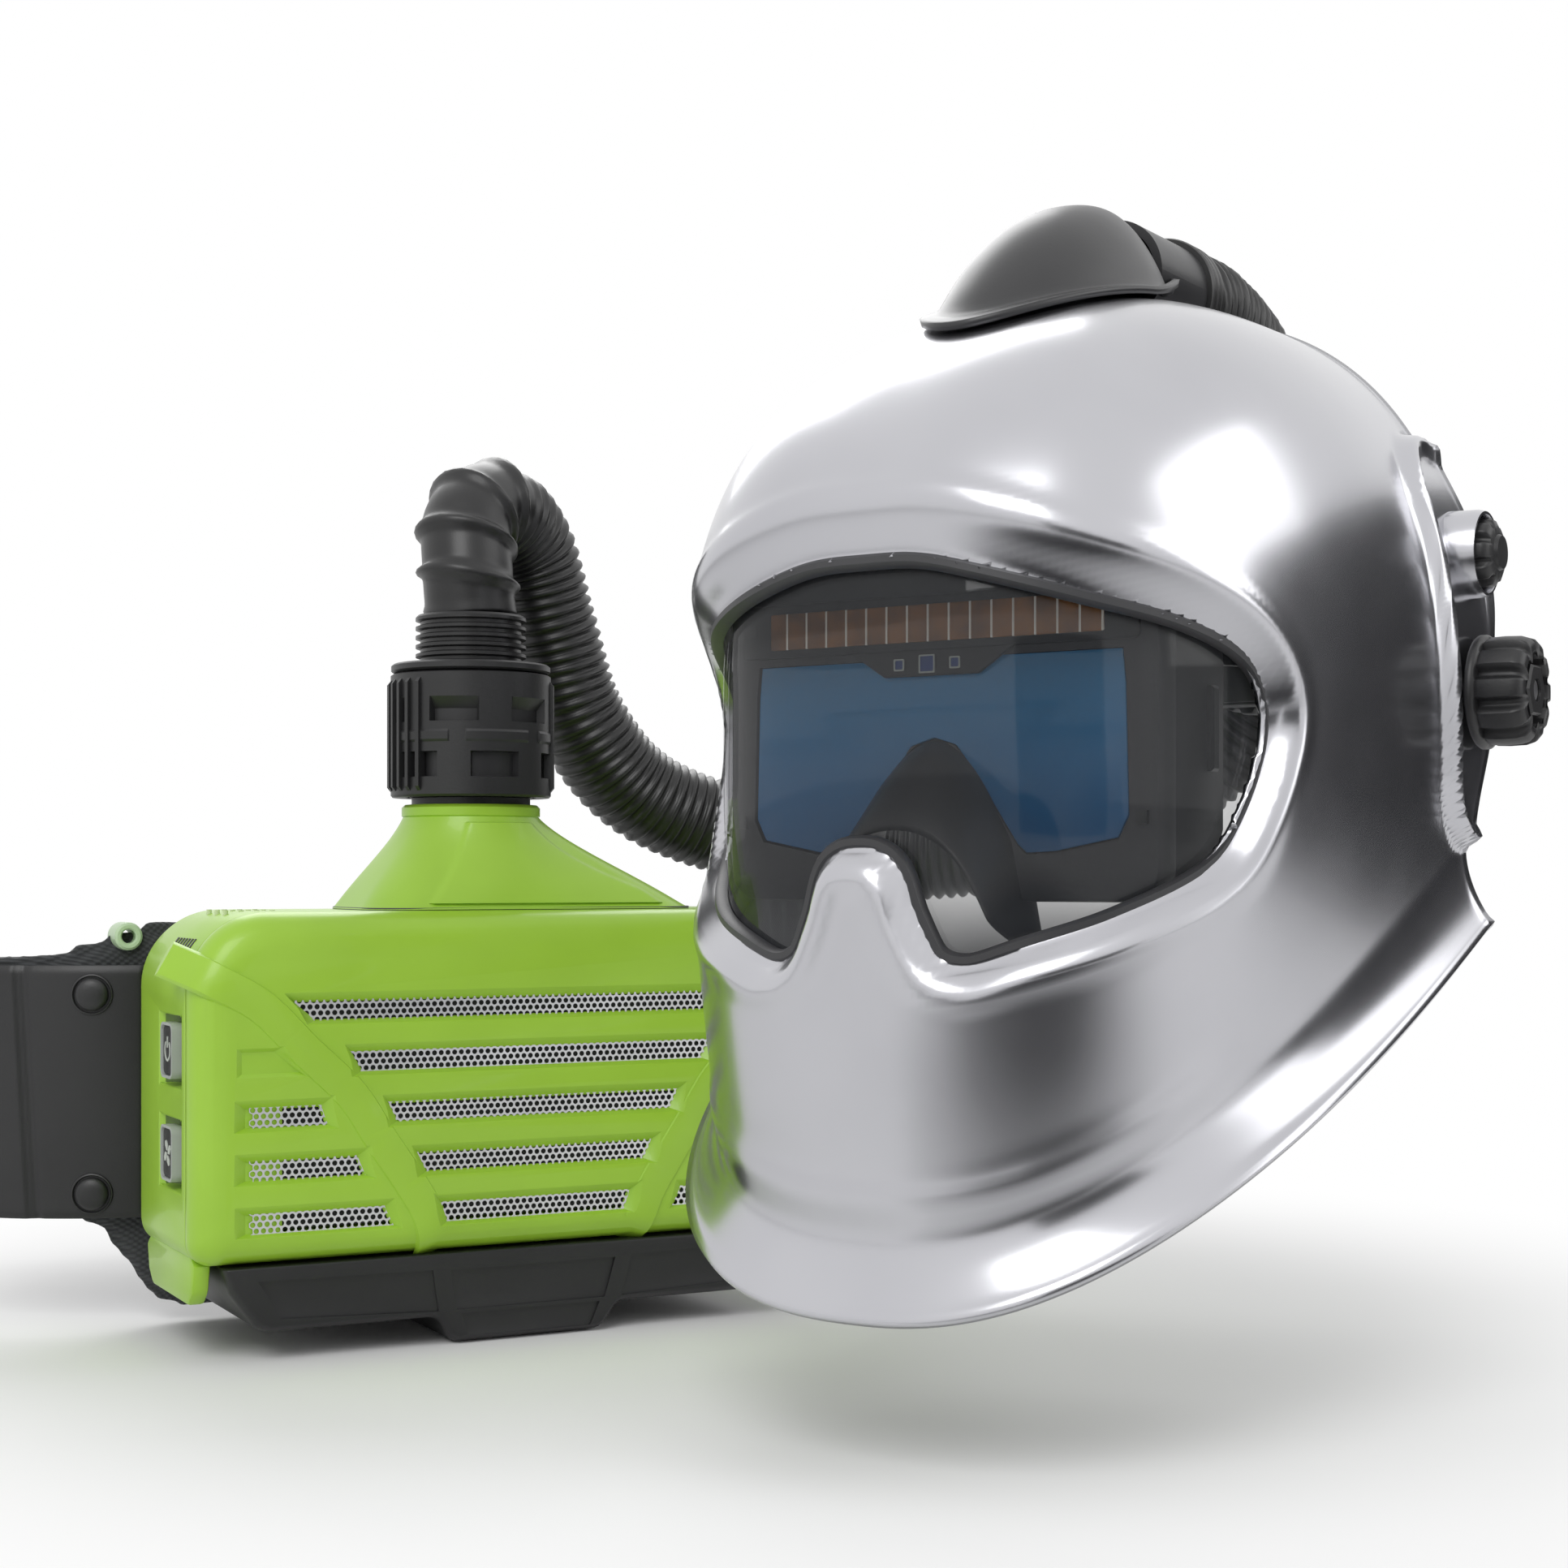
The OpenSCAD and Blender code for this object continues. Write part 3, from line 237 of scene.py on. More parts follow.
class Finish(Tree):
    """One procedural material on a Principled shader."""

    def __init__(self, name="finish", **settings):
        self.material = bpy.data.materials.new(name)
        self.material.use_nodes = True
        super().__init__(self.material.node_tree)
        self.shader = self.nodes["Principled BSDF"]
        self.set(**settings)
        self.place = self.node("ShaderNodeTexCoord", out="Object")

    def axes(self, vector=None):
        """The three numbers of a place."""
        first = self.node("ShaderNodeSeparateXYZ", values={0: vector or self.place})
        return [Value(self, socket) for socket in first.socket.node.outputs]

    def turned(self, centre=(0, 0, 0), angle=0.0, scale=(1, 1, 1)):
        """Places counted from a centre, turned about the vertical."""
        moved = self.node("ShaderNodeVectorMath", {"operation": "SUBTRACT"},
                          {0: self.place, 1: tuple(centre)})
        return self.node("ShaderNodeMapping", values={0: moved, 2: (0, 0, -angle), 3: scale})

    def distance(self, place):
        """How far each point lies from a place."""
        return self.node("ShaderNodeVectorMath", {"operation": "DISTANCE"}, {0: self.place, 1: place}, 1)

    def noise(self, scale, detail=3.0, rough=0.5, vector=None):
        """Fine cloudiness, from 0 to 1."""
        return self.node("ShaderNodeTexNoise", values={
            "Vector": vector or self.place, "Scale": scale, "Detail": detail, "Roughness": rough})

    def mix(self, factor, a, b):
        """A colour between two colours."""
        made = self.nodes.new("ShaderNodeMix")
        made.data_type = "RGBA"
        for index, value in ((0, factor), (6, a), (7, b)):
            self.feed(made.inputs[index], value)
        return Value(self, made.outputs[2])

    def band(self, value, low, high):
        """How far a value lies between two limits, from 0 to 1, with soft ends."""
        return self.node("ShaderNodeMapRange", {"interpolation_type": "SMOOTHSTEP", "clamp": True},
                         {0: value, 1: low, 2: high, 3: 0.0, 4: 1.0})

    def set(self, **settings):
        """Feeds the shader's sockets by name."""
        for key, value in settings.items():
            self.feed(self.shader.inputs[key.replace("_", " ")], value)
        return self

    def bump(self, height, strength, distance=0.001):
        """Gives the surface a fine relief."""
        normal = self.node("ShaderNodeBump", values={
            "Height": height, "Strength": strength, "Distance": distance})
        return self.set(Normal=normal)


def moulded(colour, roughness, grain=900.0, depth=0.12, tint=0.06, **more):
    """Moulded plastic: a fine grain, with slight cloudiness in colour and gloss."""
    finish = Finish(Roughness=roughness, **more)
    cloud = finish.noise(14.0, 4.0)
    lighter = [min(1.0, c * (1 + tint) + 0.004) for c in colour]
    darker = [c * (1 - tint) for c in colour]
    finish.set(Base_Color=finish.mix(finish.band(cloud, 0.35, 0.65), darker, lighter))
    finish.set(Roughness=finish.noise(60.0) * 0.08 + (roughness - 0.04))
    finish.bump(finish.noise(grain, 2.0), depth, 0.0004)
    return finish.material


def mirror_coat():
    """Silver mirror coating, slightly softened, with faint fine haze."""
    finish = Finish(Metallic=1.0, Coat_Weight=0.25, Coat_Roughness=0.08)
    cloud = finish.noise(9.0, 3.0)
    finish.set(Base_Color=finish.mix(finish.band(cloud, 0.3, 0.7), (0.5, 0.5, 0.53), (0.55, 0.55, 0.58)))
    finish.set(Roughness=finish.noise(40.0, 3.0) * 0.05 + 0.205)
    finish.bump(finish.noise(26.0, 2.0), 0.03, 0.0006)
    return finish.material


def smoke_glass(colour, alpha, roughness=0.04):
    """Smoked glass with painted shade: darker and more opaque towards its lower edge."""
    finish = Finish(Roughness=roughness, Specular_IOR_Level=0.6)
    haze = finish.noise(11.0, 3.0)
    finish.set(Base_Color=finish.mix(haze, colour, [c * 1.2 for c in colour]))
    # painted shade: the glass grows darker and more opaque towards its lower edge
    painted_shade_low = finish.band(finish.axes()[2], 0.184, 0.15)
    finish.set(Alpha=haze * 0.05 + painted_shade_low * 0.5 + alpha)
    return finish.material


def blue_glass():
    """Dark blue filter glass with painted light: lighter towards its top, darker towards its lower edge."""
    finish = Finish(Roughness=0.09, Coat_Weight=0.4)
    height = finish.axes()[2]
    # painted light: the glass is painted lighter towards its top and darker towards its lower edge
    depth = finish.band(height, 0.185, 0.25)
    finish.set(Base_Color=finish.mix(depth, (0.012, 0.13, 0.33), (0.03, 0.22, 0.46)))
    finish.bump(finish.noise(30.0), 0.02, 0.0005)
    return finish.material


def solar_cells():
    """Amber cells parted by thin silver lines, counted across the helmet."""
    finish = Finish(Roughness=0.28, Coat_Weight=0.6)
    across = finish.axes(finish.turned(HELMET_AT, HELMET_TURN))[0]
    line = ((across + 0.0612) / 0.0076).fraction().above(0.9)
    grain = finish.noise(90.0, 5.0)
    amber = finish.mix(finish.band(grain, 0.3, 0.7), (0.16, 0.06, 0.01), (0.36, 0.135, 0.02))
    finish.set(Base_Color=finish.mix(line, amber, (0.95, 0.9, 0.8)))
    return finish.material


def metal(colour, roughness, brushed=0.0):
    """Metal with a faint streak along it."""
    finish = Finish(Metallic=1.0)
    streak = finish.noise(260.0, 4.0, vector=finish.turned(scale=(1.0, 12.0, 1.0)))
    finish.set(Base_Color=finish.mix(finish.noise(30.0), [c * 0.9 for c in colour], colour))
    finish.set(Roughness=streak * (0.12 + brushed) + (roughness - 0.06))
    finish.bump(streak, 0.05 + brushed, 0.0003)
    return finish.material


def woven(colour, pitch, sheen=0.25):
    """Cloth with a plain weave, a little worn in places, and with painted shade where the threads sink."""
    finish = Finish(Roughness=0.85, Sheen_Weight=sheen, Sheen_Roughness=0.5)
    x, y, z = finish.axes()
    over = ((x + y) * (6.283 / pitch)).wave()
    under = (z * (6.283 / pitch)).wave()
    weave = over * under
    wear = finish.band(finish.noise(18.0, 4.0), 0.4, 0.75)
    # painted shade: the cloth is painted darker where the weave sinks between the threads
    dark = finish.mix(finish.band(weave, -0.6, 0.8), [c * 0.45 for c in colour], colour)
    finish.set(Base_Color=finish.mix(wear * 0.25, dark, [c * 1.6 for c in colour]))
    finish.bump(weave, 0.5, 0.0006)
    return finish.material


def board():
    """A green circuit board with paler tracks."""
    finish = Finish(Roughness=0.4)
    track = finish.band(finish.noise(420.0, 1.0), 0.52, 0.56)
    finish.set(Base_Color=finish.mix(track, (0.008, 0.09, 0.03), (0.05, 0.2, 0.06)))
    return finish.material


def pleated(colour):
    """Filter paper in narrow folds, with painted shade in the folds' hollows."""
    finish = Finish(Roughness=0.9)
    fold = (finish.axes()[0] * 900.0).wave()
    # painted shade: the paper is painted darker where the folds sink
    finish.set(Base_Color=finish.mix(finish.band(fold, -1.0, 1.0), [c * 0.75 for c in colour], colour))
    finish.bump(fold, 0.4, 0.001)
    return finish.material


LIME = (0.335, 0.585, 0.036)
BLACK = (0.0125, 0.0125, 0.0135)


def make_finishes():
    """Every material by the name of the record's slot."""
    made = {
        "lime_plastic": moulded(LIME, 0.36, depth=0.05, tint=0.03, Coat_Weight=0.15),
        "screen_steel": metal((0.78, 0.78, 0.79), 0.36),
        "filter_fleece": woven((0.016, 0.016, 0.017), 0.0016),
        "filter_media": pleated((0.8, 0.8, 0.75)),
        "black_plastic": moulded(BLACK, 0.42),
        "dark_plastic": moulded((0.035, 0.035, 0.038), 0.45),
        "motor_steel": metal((0.45, 0.45, 0.47), 0.35, 0.1),
        "board_green": board(),
        "green_recess": moulded((0.09, 0.17, 0.012), 0.5),
        "key_face": moulded((0.02, 0.021, 0.02), 0.4, depth=0.2),
        "sign_grey": moulded((0.52, 0.56, 0.5), 0.5, depth=0.05),
        "grey_key": moulded((0.42, 0.45, 0.42), 0.5, depth=0.2),
        "light_lens": moulded((0.62, 0.72, 0.42), 0.3, tint=0.02),
        "cell_wrap": moulded((0.02, 0.05, 0.2), 0.3),
        "steel": metal((0.55, 0.55, 0.57), 0.32, 0.05),
        "hose_rubber": moulded((0.0115, 0.0115, 0.012), 0.36, grain=1400.0, depth=0.08),
        "mirror_shell": mirror_coat(),
        "liner_black": moulded((0.014, 0.014, 0.015), 0.6),
        "dome_plastic": moulded((0.026, 0.026, 0.028), 0.36, depth=0.04),
        "clear_lens": smoke_glass((0.03, 0.032, 0.036), 0.24),
        "filter_blue": blue_glass(),
        "solar_amber": solar_cells(),
        "headgear_plastic": moulded((0.03, 0.03, 0.032), 0.5),
        "foam": woven((0.03, 0.03, 0.032), 0.0022, 0.4),
        "seal_cloth": woven((0.035, 0.035, 0.04), 0.0014),
        "belt_cloth": woven((0.045, 0.048, 0.052), 0.0024, 0.3),
        "webbing": woven((0.02, 0.02, 0.022), 0.0032),
        "eyelet_green": moulded((0.5, 0.66, 0.42), 0.3, tint=0.02),
    }
    for name, material in made.items():
        material.name = name
    return made


FINISHES = {}

# Mesh helpers


def placed(name, data):
    """A new object in the scene."""
    obj = bpy.data.objects.new(name, data)
    bpy.context.scene.collection.objects.link(obj)
    return obj


def piece(name, verts, faces, slot, body="casing", smooth=True, replaces=()):
    """A mesh object with its finish, riding on a CAD body."""
    mesh = bpy.data.meshes.new(name)
    mesh.from_pydata([tuple(map(float, v)) for v in verts], [], faces)
    mesh.validate()
    mesh.update()
    return finished(placed(name, mesh), slot, body, smooth, replaces)


def all_smooth(obj, smooth=True):
    """Shades every face of a piece smooth, or none."""
    obj.data.polygons.foreach_set("use_smooth", [smooth] * len(obj.data.polygons))


def finished_again(obj, slot, smooth=True):
    """Restores the finish of a baked mesh."""
    obj.data.materials.clear()
    obj.data.materials.append(FINISHES[slot])
    all_smooth(obj, smooth)
    return obj


def finished(obj, slot, body="casing", smooth=True, replaces=()):
    """Gives a piece its finish, its body and the nodes it stands for."""
    finished_again(obj, slot, smooth)
    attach(obj, body)
    if replaces:
        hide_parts(*replaces)
    return obj


def grid_faces(rows, cols, keep=None, wrap=False):
    """Quads over a grid of vertices stored row by row."""
    faces = []
    for i in range(rows - 1):
        for j in range(cols if wrap else cols - 1):
            k = (j + 1) % cols
            quad = (i * cols + j, i * cols + k, (i + 1) * cols + k, (i + 1) * cols + j)
            if keep is None or keep[i, j]:
                faces.append(quad)
    return faces


@contextmanager
def edited(obj):
    """Opens a piece's mesh for editing and writes it back."""
    form = bmesh.new()
    form.from_mesh(obj.data)
    yield form
    form.to_mesh(obj.data)
    form.free()


def bake(obj, *modifiers):
    """Adds modifiers, given as (type, settings), and turns their result into the mesh."""
    for kind, settings in modifiers:
        added = obj.modifiers.new(kind.title(), kind)
        for key, value in settings.items():
            setattr(added, key, value)
    graph = bpy.context.evaluated_depsgraph_get()
    mesh = bpy.data.meshes.new_from_object(obj.evaluated_get(graph))
    obj.modifiers.clear()
    obj.data = mesh
    return obj


def smooth_by_angle(obj, degrees=35.0):
    """Keeps the edges sharp where the surface turns more than an angle."""
    all_smooth(obj)
    with edited(obj) as form:
        for edge in form.edges:
            edge.smooth = len(edge.link_faces) == 2 and edge.calc_face_angle(0.0) < math.radians(degrees)
    return obj


def between(a, b, c, d, f):
    """A place on the smooth curve from b to c, with their neighbours a and d."""
    return 0.5 * (2 * b + (c - a) * f + (2 * a - 5 * b + 4 * c - d) * f * f
                  + (3 * b - a - 3 * c + d) * f * f * f)


def lengths(line):
    """How far each point lies along a line."""
    return np.concatenate([[0], np.cumsum(np.linalg.norm(np.diff(line, axis=0), axis=1))])


def route_point(points, k):
    """The same curve as the part's hose: k from 0 to 1 along the points."""
    s = min(k, 0.99999) * (len(points) - 1)
    i = int(s)
    b, c = points[i], points[i + 1]
    a = points[i - 1] if i > 0 else 2 * b - c
    d = points[i + 2] if i + 2 < len(points) else 2 * c - b
    return between(a, b, c, d, s - i)


def even_route(points, step):
    """Points of the curve spaced evenly, with the length up to each."""
    raw = np.array([route_point(points, k / 4000) for k in range(4001)])
    run = lengths(raw)
    count = int(run[-1] / step)
    at = np.linspace(0, run[-1], count + 1)
    return np.stack([np.interp(at, run, raw[:, i]) for i in range(3)], axis=1), at


def turns(count):
    """Evenly spaced angles round a circle."""
    return [2 * math.pi * k / count for k in range(count)]


def smoothstep(x):
    """A soft step from 0 to 1."""
    x = np.clip(x, 0, 1)
    return x * x * (3 - 2 * x)


# Hose


def hose_radius(s, length, turn):
    """The hose's outline: wide-set ribs by the blower, then a close spiral."""
    plain, end, fade = 0.001, 0.0186, 0.006
    wide = smoothstep((WIDE_RIBS_LONG - s) / 0.012)
    wide_rib = np.exp(-((((s + turn * WIDE_PITCH) / WIDE_PITCH) % 1.0 - 0.5) / 0.115) ** 2)
    close_rib = 0.5 + 0.5 * np.cos(2 * math.pi * (s / CLOSE_PITCH + turn))
    close = 0.0188 + 0.0023 * close_rib ** 0.8
    wide_set = 0.0183 + 0.0029 * wide_rib
    ribbed = smoothstep((s - plain) / fade) * smoothstep((length - plain - s) / fade)
    return (close + (wide_set - close) * wide) * ribbed + end * (1 - ribbed)


class RESPIRATOR_OT_hose(bpy.types.Operator):
    """Builds the ribbed breathing hose along its route"""

    bl_idname = "respirator.hose"
    bl_label = "Breathing hose"

    def execute(self, context):
        points = [np.array(p) / 1000.0 for p in HOSE_ROUTE]
        path, run = even_route(points, 0.0011)
        segments = 30
        way = np.gradient(path, axis=0)
        way /= np.linalg.norm(way, axis=1)[:, None]
        side = np.cross(way[0], (0.47, -0.883, 0.0))
        side /= np.linalg.norm(side)
        verts = []
        for k, (centre, ahead) in enumerate(zip(path, way)):
            side = side - ahead * np.dot(side, ahead)
            side /= np.linalg.norm(side)
            up = np.cross(ahead, side)
            for j in range(segments):
                turn = j / segments
                angle = 2 * math.pi * turn
                r = hose_radius(run[k], run[-1], turn)
                verts.append(centre + r * (math.cos(angle) * side + math.sin(angle) * up))
        faces = grid_faces(len(path), segments, wrap=True)
        faces.append(tuple(range(segments))[::-1])
        last = (len(path) - 1) * segments
        faces.append(tuple(range(last, last + segments)))
        faces = [tuple(reversed(f)) for f in faces]
        hose = piece("hose", verts, faces, "hose_rubber", replaces=("breathing_hose",))
        recalculated(hose)
        tuple(path[0])
        [tuple(p) for p in path]
        return {"FINISHED"}


def recalculated(obj):
    """Turns a closed solid's faces outwards."""
    with edited(obj) as form:
        bmesh.ops.recalc_face_normals(form, faces=form.faces)
    return obj


# Turned parts


def lathe(name, profile, place, slot, body="casing", steps=96, shape=None, replaces=(), sharp=32.0):
    """A turned part: the profile runs (radius, height) from the axis or round a closed ring.

    shape(angle, radius, height) may change the radius round the axis, and place maps a point
    with z along the axis into the object's frame.
    """
    closed = profile[0][0] > 1e-6
    verts, rings = [], []
    for r, h in profile:
        ring = []
        if r < 1e-6:
            ring = [len(verts)] * steps
            verts.append(place((0.0, 0.0, h)))
        else:
            for a in turns(steps):
                q = shape(a, r, h) if shape else r
                ring.append(len(verts))
                verts.append(place((q * math.cos(a), q * math.sin(a), h)))
        rings.append(ring)
    if closed:
        rings.append(rings[0])
    faces = []
    for low, high in zip(rings, rings[1:]):
        for j in range(steps):
            k = (j + 1) % steps
            quad = [low[j], low[k], high[k], high[j]]
            face = [v for i, v in enumerate(quad) if v not in quad[:i]]
            if len(face) > 2:
                faces.append(face)
    obj = piece(name, verts, faces, slot, body, replaces=replaces)
    recalculated(obj)
    return smooth_by_angle(obj, sharp)


def upright(x, y):
    """Places a turned part on a vertical axis."""
    return lambda p: (x + p[0], y + p[1], p[2])


def sideways(side, v, z, seat):
    """Places a turned part on an axis across the helmet, outwards from its seat on one side."""
    return lambda p: on_helmet((side * (seat + p[2]), -v + side * p[0], z + p[1]))


def smooth_window(x, low, high, soft):
    """1 between two limits and 0 outside, with soft ends."""
    return smoothstep((x - low) / soft) * smoothstep((high - x) / soft)


# Blower


def rounded_outline(half_w, low, high, r_top, r_low, count=24):
    """Points round a plate with different upper and lower corners, counted from the lower left."""
    points = []
    for cx, cz, r, start in ((half_w, low, r_low, 270), (half_w, high, r_top, 0),
                             (-half_w, high, r_top, 90), (-half_w, low, r_low, 180)):
        mx = cx - math.copysign(r, cx)
        mz = cz + r if cz == low else cz - r
        for k in range(count + 1):
            a = math.radians(start + 90 * k / count)
            points.append((mx + r * math.cos(a), mz + r * math.sin(a)))
    return points


def even_ring(points, count):
    """Evenly spaced points along a closed outline."""
    line = np.array(points + points[:1])
    run = lengths(line)
    at = np.linspace(0, run[-1], count + 1)[:-1]
    return [(float(np.interp(a, run, line[:, 0])), float(np.interp(a, run, line[:, 1]))) for a in at]


def case_ring(inset, y):
    """The casing's outline at a depth, drawn in by an inset."""
    r_top = max(0.006, 0.03 - inset)
    r_low = max(0.003, 0.009 - inset * 0.5)
    ring = rounded_outline(SIDE_X - inset, CASE_Z0 + inset, CASE_Z1 - inset, r_top, r_low)
    return [(x, y, z) for x, z in ring]


def stacked(name, rings, slot, body="casing", caps=(True, True), replaces=()):
    """A solid or shell from closed rings of points, one behind another."""
    verts, faces = wedge_solid(rings, caps)
    return recalculated(piece(name, verts, faces, slot, body, replaces=replaces))


def combined(obj, name, parts, operation="DIFFERENCE"):
    """Cuts a piece with helper solids or joins it with them, and drops the helpers."""
    other = many_solids(name, parts)
    bake(obj, ("BOOLEAN", {"object": other, "operation": operation, "solver": "EXACT"}))
    bpy.data.objects.remove(other)


def bevelled(obj, width, segments=2, angle=0.5):
    """Rounds the edges that turn more than an angle, in radians."""
    bake(obj, ("BEVEL", {"width": width, "segments": segments, "limit_method": "ANGLE",
                         "angle_limit": angle}))


def sheet_wall(obj, slot, thickness):
    """Gives a tidied sheet a wall on its inner side."""
    bake(obj, ("SOLIDIFY", {"thickness": thickness, "offset": -1.0}))
    return finished_again(obj, slot)


def loose_solid(name, verts, faces):
    """A helper solid that another is cut or joined with."""
    mesh = bpy.data.meshes.new(name)
    mesh.from_pydata([tuple(map(float, v)) for v in verts], [], faces)
    return recalculated(placed(name, mesh))


def wedge_solid(loops, caps=(True, True)):
    """Vertices and faces of a solid through loops of equal length."""
    n = len(loops[0])
    verts = [p for loop in loops for p in loop]
    faces = grid_faces(len(loops), n, wrap=True)
    if caps[0]:
        faces.append(tuple(range(n)))
    if caps[1]:
        faces.append(tuple(range((len(loops) - 1) * n, len(loops) * n)))
    return verts, faces


def round_bar(start, end, r, steps=32):
    """Vertices and faces of a straight round bar between two places."""
    start, end = Vector(start), Vector(end)
    turn = (end - start).to_track_quat("Z", "Y")
    return wedge_solid([[at + turn @ Vector((r * math.cos(a), r * math.sin(a), 0)) for a in turns(steps)]
                        for at in (start, end)])


def slab(name, outline, low, high, place, slot, body="casing", edge=0.0006, replaces=()):
    """A plate with softened edges: place maps (across, up, depth) into the object's frame."""
    loops = [[place((x, y, depth)) for x, y in outline] for depth in (low, high)]
    made = stacked(name, loops, slot, body, replaces=replaces)
    if edge:
        bevelled(made, edge)
        finished_again(made, slot)
    return smooth_by_angle(made, 35)


def looped(name, loops, slot, body="casing", replaces=()):
    """A solid whose loops close on themselves and on one another, like a ring."""
    n, count = len(loops[0]), len(loops)
    verts = [p for loop in loops for p in loop]
    faces = [(k * n + j, k * n + (j + 1) % n, (k + 1) % count * n + (j + 1) % n, (k + 1) % count * n + j)
             for k in range(count) for j in range(n)]
    return recalculated(piece(name, verts, faces, slot, body, replaces=replaces))


def hoop(name, outer, inner, low, high, place, slot, body="casing"):
    """A flat rim between two outlines of equally many points."""
    rings = [[place((x, y, d)) for x, y in line] for line, d in (
        (outer, low), (outer, high), (inner, high), (inner, low))]
    return smooth_by_angle(looped(name, rings, slot, body), 35)


def rounded_plate(half_w, low, high, r, count=8):
    """Points round a plate whose four corners are alike."""
    return rounded_outline(half_w, low, high, r, r, count)


def solids_piece(name, parts, slot, body="casing", replaces=()):
    """Several separate solids as one flat-shaded piece."""
    return finished(many_solids(name, parts), slot, body, False, replaces)


def many_solids(name, parts):
    """Several separate solids as one helper object."""
    verts, faces = [], []
    for part_verts, part_faces in parts:
        base = len(verts)
        verts += part_verts
        faces += [tuple(base + i for i in f) for f in part_faces]
    return loose_solid(name, verts, faces)


BAND_LINE = [(-0.14, 0.15), (-0.126, 0.142), (-0.109, 0.132), (-0.093, 0.116), (-0.0755, 0.099),
             (-0.0645, 0.0823), (-0.053, 0.0653), (-0.0455, 0.0525), (-0.0405, 0.036)]


def slot_cutter(side, left, right, z, pocket=None):
    """A slot with sloping sides: left and right give its ends at the top and at the bottom."""
    lo, hi = z, z + SLOT_H
    deep = FRONT_Y + 0.0036

    def loop(y, grow, reach):
        pts = [(left[1] - grow * 1.2 - reach, lo - grow * 0.45), (right[1] + grow * 1.2, lo - grow * 0.45),
               (right[0] + grow * 1.1, hi + grow), (left[0] - grow * 1.1 - reach, hi + grow)]
        return [(side * x, y, zz) for x, zz in pts]
    outer = pocket or 0.0
    return wedge_solid([loop(FRONT_Y - 0.002, 0.0062, outer), loop(FRONT_Y + 0.0012, 0.0022, outer * 0.97),
                        loop(deep, 0.0003, outer * 0.9), loop(deep + 0.0002, 0.0, 0.0),
                        loop(FRONT_Y + 0.008, 0.0, 0.0)])


class RESPIRATOR_OT_front_cover(bpy.types.Operator):
    """Builds the lime front cover with its slots and curved bands"""

    bl_idname = "respirator.front_cover"
    bl_label = "Front cover"

    def execute(self, context):
        profile = [(0.0, SEAM_Y + 0.0002), (0.0, -0.0375), (0.0006, -0.0398), (0.002, -0.043),
                   (0.0044, -0.0458), (0.0074, -0.0476), (0.011, -0.0486), (0.015, FRONT_Y)]
        rings = [case_ring(inset, y) for inset, y in profile]
        inner = [case_ring(0.0025, SEAM_Y + 0.0002), case_ring(0.0032, -0.039),
                 case_ring(0.013, FRONT_Y + 0.0042)]
        cover = stacked("cover_shell", rings + inner[::-1], "lime_plastic", "cover",
                        caps=(False, True), replaces=("front_cover",))
        self.close_rim(cover, len(rings[0]), len(rings) + len(inner))
        recalculated(cover)
        combined(cover, "bands", self.bands(), "UNION")
        combined(cover, "slots", self.slots())
        bevelled(cover, 0.00035)
        smooth_by_angle(finished_again(cover, "lime_plastic"), 30)
        return {"FINISHED"}

    def close_rim(self, cover, n, rings):
        """Joins the outer and inner rims at the seam, and fills the face between its rings."""
        with edited(cover) as form:
            form.verts.ensure_lookup_table()
            verts = form.verts
            last = (rings - 1) * n
            cap = [f for f in form.faces if len(f.verts) > 4]
            bmesh.ops.delete(form, geom=cap, context="FACES_ONLY")
            for j in range(n):
                k = (j + 1) % n
                form.faces.new((verts[j], verts[k], verts[last + k], verts[last + j]))
            ends = {7, 8}
            bridge = [f for f in form.faces if {v.index // n for v in f.verts} == ends]
            bmesh.ops.delete(form, geom=bridge, context="FACES_ONLY")
            form.verts.ensure_lookup_table()
            for ring in sorted(ends):
                form.faces.new([form.verts[ring * n + j] for j in range(n)])

    def bands(self):
        """Two raised curved bands that run from the upper corners down to the lower edge."""
        line = [np.array(p) for p in BAND_LINE]
        path = [route_point(line, k / 60) for k in range(61)]
        parts = []
        for side in (1, -1):
            loops = []
            for k, at in enumerate(path):
                way = path[min(k + 1, 60)] - path[max(k - 1, 0)]
                way = way / np.linalg.norm(way)
                across = np.array([-way[1], way[0]])
                edge = min(SIDE_X + at[0], at[1] - CASE_Z0)
                drop = float(np.interp(edge, [-0.006, 0.0006, 0.002, 0.0044, 0.0074, 0.011, 0.015],
                                       [0.02, 0.01, 0.0062, 0.0032, 0.0013, 0.0003, 0.0]))
                out = FRONT_Y - 0.0007 + drop
                loops.append([(side * float(at[0] + across[0] * w), y, float(at[1] + across[1] * w))
                              for w, y in ((-0.0072, out + 0.0022), (-0.006, out), (0.006, out),
                                           (0.0072, out + 0.0022), (0.004, out + 0.004),
                                           (-0.004, out + 0.004))])
            parts.append(wedge_solid(loops))
        return parts

    def slots(self):
        """The cuts of the five rows: their wide groups, the side groups and the closed recess."""
        parts = []
        for (_, z), (top, low) in zip(SLOT_ROWS, SLOT_ENDS):
            parts.append(slot_cutter(1, (-top, -low), (top, low), z))
        for side in (1, -1):
            for (_, z), (top, low) in zip(SLOT_ROWS[2:], SIDE_ENDS):
                parts.append(slot_cutter(side, (-0.1008, -0.1008), (-top, -low), z, 0.015))
            parts.append(self.blank(side))
        return parts

    def blank(self, side):
        """A closed recess in line with the second row."""
        loops = []
        for y, grow in ((FRONT_Y - 0.002, 0.0052), (FRONT_Y + 0.0016, 0.0)):
            loops.append([(side * x, y, z) for x, z in (
                (-0.1165 - grow, 0.1078 - grow * 0.6), (-0.095 + grow, 0.1078 - grow * 0.6),
                (-0.1045 + grow, 0.1158 + grow * 0.6), (-0.1165 - grow, 0.1158 + grow * 0.6))])
        return wedge_solid(loops)


